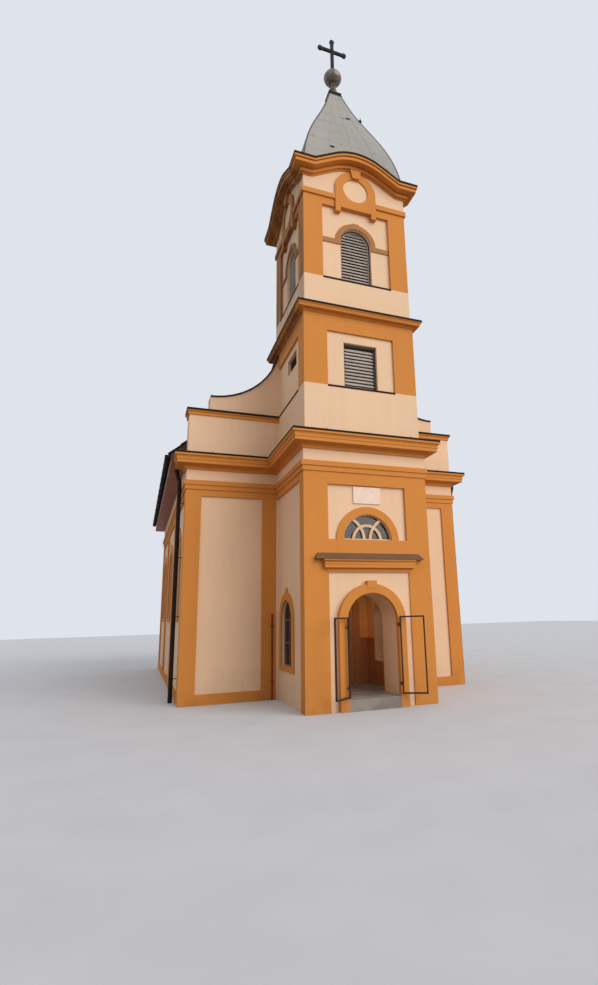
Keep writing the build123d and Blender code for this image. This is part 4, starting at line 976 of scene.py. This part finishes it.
# %% Moulding under the hood
hood_core, hood_end_share, hood_front_share = 0.85, 0.37, 0.86
hood_moulding = merged_copy("door_hood", "hood_moulding")
for vertex in hood_moulding.data.vertices:
    past_core = abs(vertex.co.x) - hood_core
    if past_core > 0:
        vertex.co.x = math.copysign(hood_core + past_core * hood_end_share, vertex.co.x)
    if vertex.co.y < 0:
        vertex.co.y *= hood_front_share
hood_moulding.data.update()
settle(hood_moulding, orange)
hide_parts("door_hood")
print("hood moulding:", [round(side, 2) for side in hood_moulding.dimensions], "m")

# %% [markdown]
# Metal roofs and ledges are laid in lengths. Where two lengths meet, their edges are folded into an upright
# seam that runs out to the drip edge. One seam is a thin bar with eased edges, repeated along each ledge.

# %% Ledge seams
fold_tall, fold_thin = 0.016, 0.008
ledge_top = 5.12
ledge_reach = -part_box("main_cornice")[0][1] - 0.012
tower_side, nave_face, nave_side = 1.3, 2.11, 3.26
front_pitch, wing_start, wing_pitch, end_start = 0.9, 1.95, 0.8, 2.3


def ledge_seam(low, high):
    """A folded seam on the main ledge, between two points of its plan."""
    return plank("ledge_seam", (*low, ledge_top - 0.006), (*high, ledge_top + fold_tall), 0.0025)


front_seams = row(ledge_seam((-front_pitch, -ledge_reach), (-front_pitch + fold_thin, 0)),
                  3, (front_pitch, 0, 0))
side_seam = ledge_seam((tower_side, front_pitch), (tower_side + ledge_reach, front_pitch + fold_thin))
wing_seams = row(ledge_seam((wing_start, nave_face - ledge_reach), (wing_start + fold_thin, nave_face)),
                 2, (wing_pitch, 0, 0))
end_seam = ledge_seam((nave_side, end_start), (nave_side + ledge_reach, end_start + fold_thin))
ledge_seams = join([front_seams, both_sides(side_seam), both_sides(wing_seams), both_sides(end_seam)],
                   "ledge_seams")
settle(ledge_seams, dark_sheet)
print("ledge seams:", len(ledge_seams.data.polygons), "faces")

# %% [markdown]
# The overhang of the roof is closed underneath with brown boards, three side by side and each in three
# lengths. Between neighbours is a narrow shadow gap, which shows from below.

# %% Boards under the eaves
eaves_low, eaves_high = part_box("eaves_boards")
soffit_face = eaves_low[2]
eaves_board = (eaves_high[1] - eaves_low[1] - 0.02) / 3
soffit_pitch, soffit_gap = 0.098, 0.007
soffit_start = nave_side + 0.004
first_board = plank("soffit_boards", (soffit_start, eaves_low[1] + 0.01, soffit_face - 0.007),
                    (soffit_start + soffit_pitch - soffit_gap, eaves_low[1] + 0.006 + eaves_board,
                     soffit_face + 0.002))
row(first_board, 3, (soffit_pitch, 0, 0))
row(first_board, 3, (0, eaves_board, 0))
settle(both_sides(first_board), eaves_wood)
print("soffit boards made")

# %% [markdown]
# Gutters hang in iron straps, and the pipes are held to the wall by clips. A strap is a strip bent round
# below the gutter and hooked over its lip. A clip is a closed ring with a pin into the wall and two ears.

# %% Gutter straps
gutter_low, gutter_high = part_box("gutters")
gutter_radius, strap_wide = 0.06, 0.026
gutter_x, gutter_z = gutter_high[0] - gutter_radius, gutter_low[2] + gutter_radius
strap_step = 0.70
strap_count = int((gutter_high[1] - gutter_low[1] - 0.2) / strap_step) + 1


def strap(u, w):
    """A strap's line: hooked over the front lip, round below and up to the board."""
    turn = math.radians(25 - 200 * u)
    reach = gutter_radius + 0.003
    return Vector((gutter_x + reach * math.cos(turn), gutter_low[1] + 0.12 + strap_wide * w,
                   gutter_z + reach * math.sin(turn)))


gutter_straps = row(bent_strip("gutter_straps", 14, strap, 0.004), strap_count, (0, strap_step, 0))
settle(both_sides(gutter_straps), black_iron)

# %% Pipe clips
pipe_radius, pipe_line = 0.045, nave_side + 0.092
clip_tall, clip_clear, pin_half = 0.032, 0.002, 0.008
ear_half, ear_out = Vector((0.011, 0.011, 0.012)), 0.012
left_pipe_y, right_pipe_y = 2.8, 2.33
short_pipe_x, short_pipe_y, short_pipe_radius = -1.39, 2.09, 0.02
into_wall = 0.04


def clip(height, centre, radius, wall):
    """A clip round a pipe: its ring, the pin that holds it to the wall, and two ears."""
    side = 1 if wall.x > centre.x or wall.y > centre.y else -1
    along_x = abs(wall.x - centre.x) > abs(wall.y - centre.y)

    def ring(u, w):
        turn, reach = u * math.tau, radius + clip_clear
        return Vector((centre.x + reach * math.cos(turn), centre.y + reach * math.sin(turn),
                       height + clip_tall * w))

    band = bent_strip("band", 20, ring, 0.003, closed=True)
    low_z, high_z = height + pin_half, height + 3 * pin_half
    if along_x:
        near, far = sorted((centre.x + side * radius, wall.x))
        pin = plank("pin", (near, centre.y - pin_half, low_z), (far, centre.y + pin_half, high_z))
        ears = [(0, 1), (0, -1)]
    else:
        near, far = sorted((centre.y + side * radius, wall.y))
        pin = plank("pin", (centre.x - pin_half, near, low_z), (centre.x + pin_half, far, high_z))
        ears = [(1, 0), (-1, 0)]
    pieces = [band, pin]
    reach = radius + ear_out
    for x, y in ears:
        ear = Vector((centre.x + x * reach, centre.y + y * reach, height + clip_tall / 2))
        pieces.append(plank("ear", ear - ear_half, ear + ear_half))
    return join(pieces, "clip")


clips = []
for height in (0.45, 1.7, 2.95, 4.15):
    clips.append(clip(height, Vector((-pipe_line, left_pipe_y, 0)), pipe_radius,
                      Vector((-nave_side + into_wall, left_pipe_y, 0))))
    clips.append(clip(height, Vector((pipe_line, right_pipe_y, 0)), pipe_radius,
                      Vector((nave_side, right_pipe_y, 0))))
for height in (0.35, 1.45):
    clips.append(clip(height, Vector((short_pipe_x, short_pipe_y, 0)), short_pipe_radius,
                      Vector((short_pipe_x, nave_face + into_wall, 0))))
pipe_clips = settle(join(clips, "pipe_clips"), pipe_sheet)
print("gutter straps and clips:", len(gutter_straps.data.polygons) + len(pipe_clips.data.polygons), "faces")

# %% [markdown]
# Inside the porch the lower walls are panelled with upright boards under a rail, and the inner door is made
# of planks that end in the arch's curve, with two strap hinges and a ring to pull it by.

# %% Porch boards
panel_low, panel_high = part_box("porch_wainscot")
board_count, wainscot_thick, rail_lap = 12, 0.022, 0.01
porch_side = panel_high[0] - wainscot_thick
board_pitch = (panel_high[1] - panel_low[1]) / board_count
sill_z, window_middle, window_half = 0.695, 1.35, 0.395
window_from, window_to = window_middle - window_half, window_middle + window_half
boards = []
for number in range(board_count):
    near = panel_low[1] + number * board_pitch
    under_window = near + board_pitch > window_from and near < window_to
    top = sill_z - 0.02 if under_window else panel_high[2] - 0.03
    boards.append(plank("board", (porch_side - 0.006, near + 0.003, panel_low[2] + 0.002),
                        (porch_side + 0.004, near + board_pitch - 0.003, top)))
rails = [(panel_low[1], window_from - rail_lap, panel_high[2]),
         (window_to + rail_lap, panel_high[1], panel_high[2]),
         (window_from - rail_lap, window_to + rail_lap, sill_z)]
for near, far, top in rails:
    boards.append(plank("rail", (porch_side - 0.016, near, top - 0.03),
                        (porch_side + 0.004, far, top - 0.002), 0.005))
settle(both_sides(join(boards, "porch_boards")), panelling)
print("porch boards and rails:", 2 * (board_count + len(rails)))

# %% Inner door planks
door_low, door_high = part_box("inner_door")
door_face, door_half = door_low[1], door_high[0]
plank_count = 6
plank_pitch = 2 * door_half / plank_count
arch_spring = door_high[2] - door_half
door_planks = []
for number in range(plank_count):
    left = -door_half + number * plank_pitch
    made = plank("door_plank", (left + 0.002, door_face - 0.010, door_low[2] + 0.004),
                 (left + plank_pitch - 0.002, door_face + 0.004, door_high[2]), 0.002)
    for vertex in made.data.vertices:
        if vertex.co.z > arch_spring:
            reach = max(0.0, (door_half - 0.004) ** 2 - vertex.co.x ** 2)
            vertex.co.z = arch_spring + math.sqrt(reach) - (door_high[2] - vertex.co.z)
    door_planks.append(made)
settle(join(door_planks, "door_planks"), panelling)
print("door planks:", plank_count)

# %% Inner door ironwork
band_end, band_tall, band_tip, band_taper = 0.12, 0.045, 0.05, 0.2
handle_x, handle_z, rose_z = 0.33, 1.16, 1.205
rose_profile = [(0.0, 0.020), (0.012, 0.018), (0.016, 0.008), (0.032, 0.005), (0.034, 0.0), (0.0, -0.001)]
door_iron = []
for height in (0.55, 1.65):
    band = plank("hinge_strap", (-door_half + 0.01, door_face - 0.016, height),
                 (band_end, door_face - 0.008, height + band_tall), 0.002)
    middle = height + band_tall / 2
    for vertex in band.data.vertices:
        if vertex.co.x > band_end - 0.02:
            vertex.co.x += band_tip
            vertex.co.z = middle + (vertex.co.z - middle) * band_taper
    door_iron.append(band)
deselect()
bpy.ops.mesh.primitive_torus_add(major_radius=0.045, minor_radius=0.006, major_segments=24, minor_segments=8,
                                 location=(handle_x, door_face - 0.022, handle_z),
                                 rotation=(math.radians(82), 0, 0))
ring_handle = start("ring_handle")
bpy.ops.object.mode_set(mode="OBJECT")
bpy.ops.object.transform_apply(location=True, rotation=True, scale=True)
rose = turned("rose", rose_profile, Vector((0, 0, 0)))
upright = Matrix.Rotation(math.radians(90), 4, "X")
rose.data.transform(Matrix.Translation((handle_x, door_face - 0.010, rose_z)) @ upright)
door_ironwork = settle(join(door_iron + [ring_handle, rose], "door_ironwork"), black_iron)
print("door ironwork:", len(door_ironwork.data.polygons), "faces")
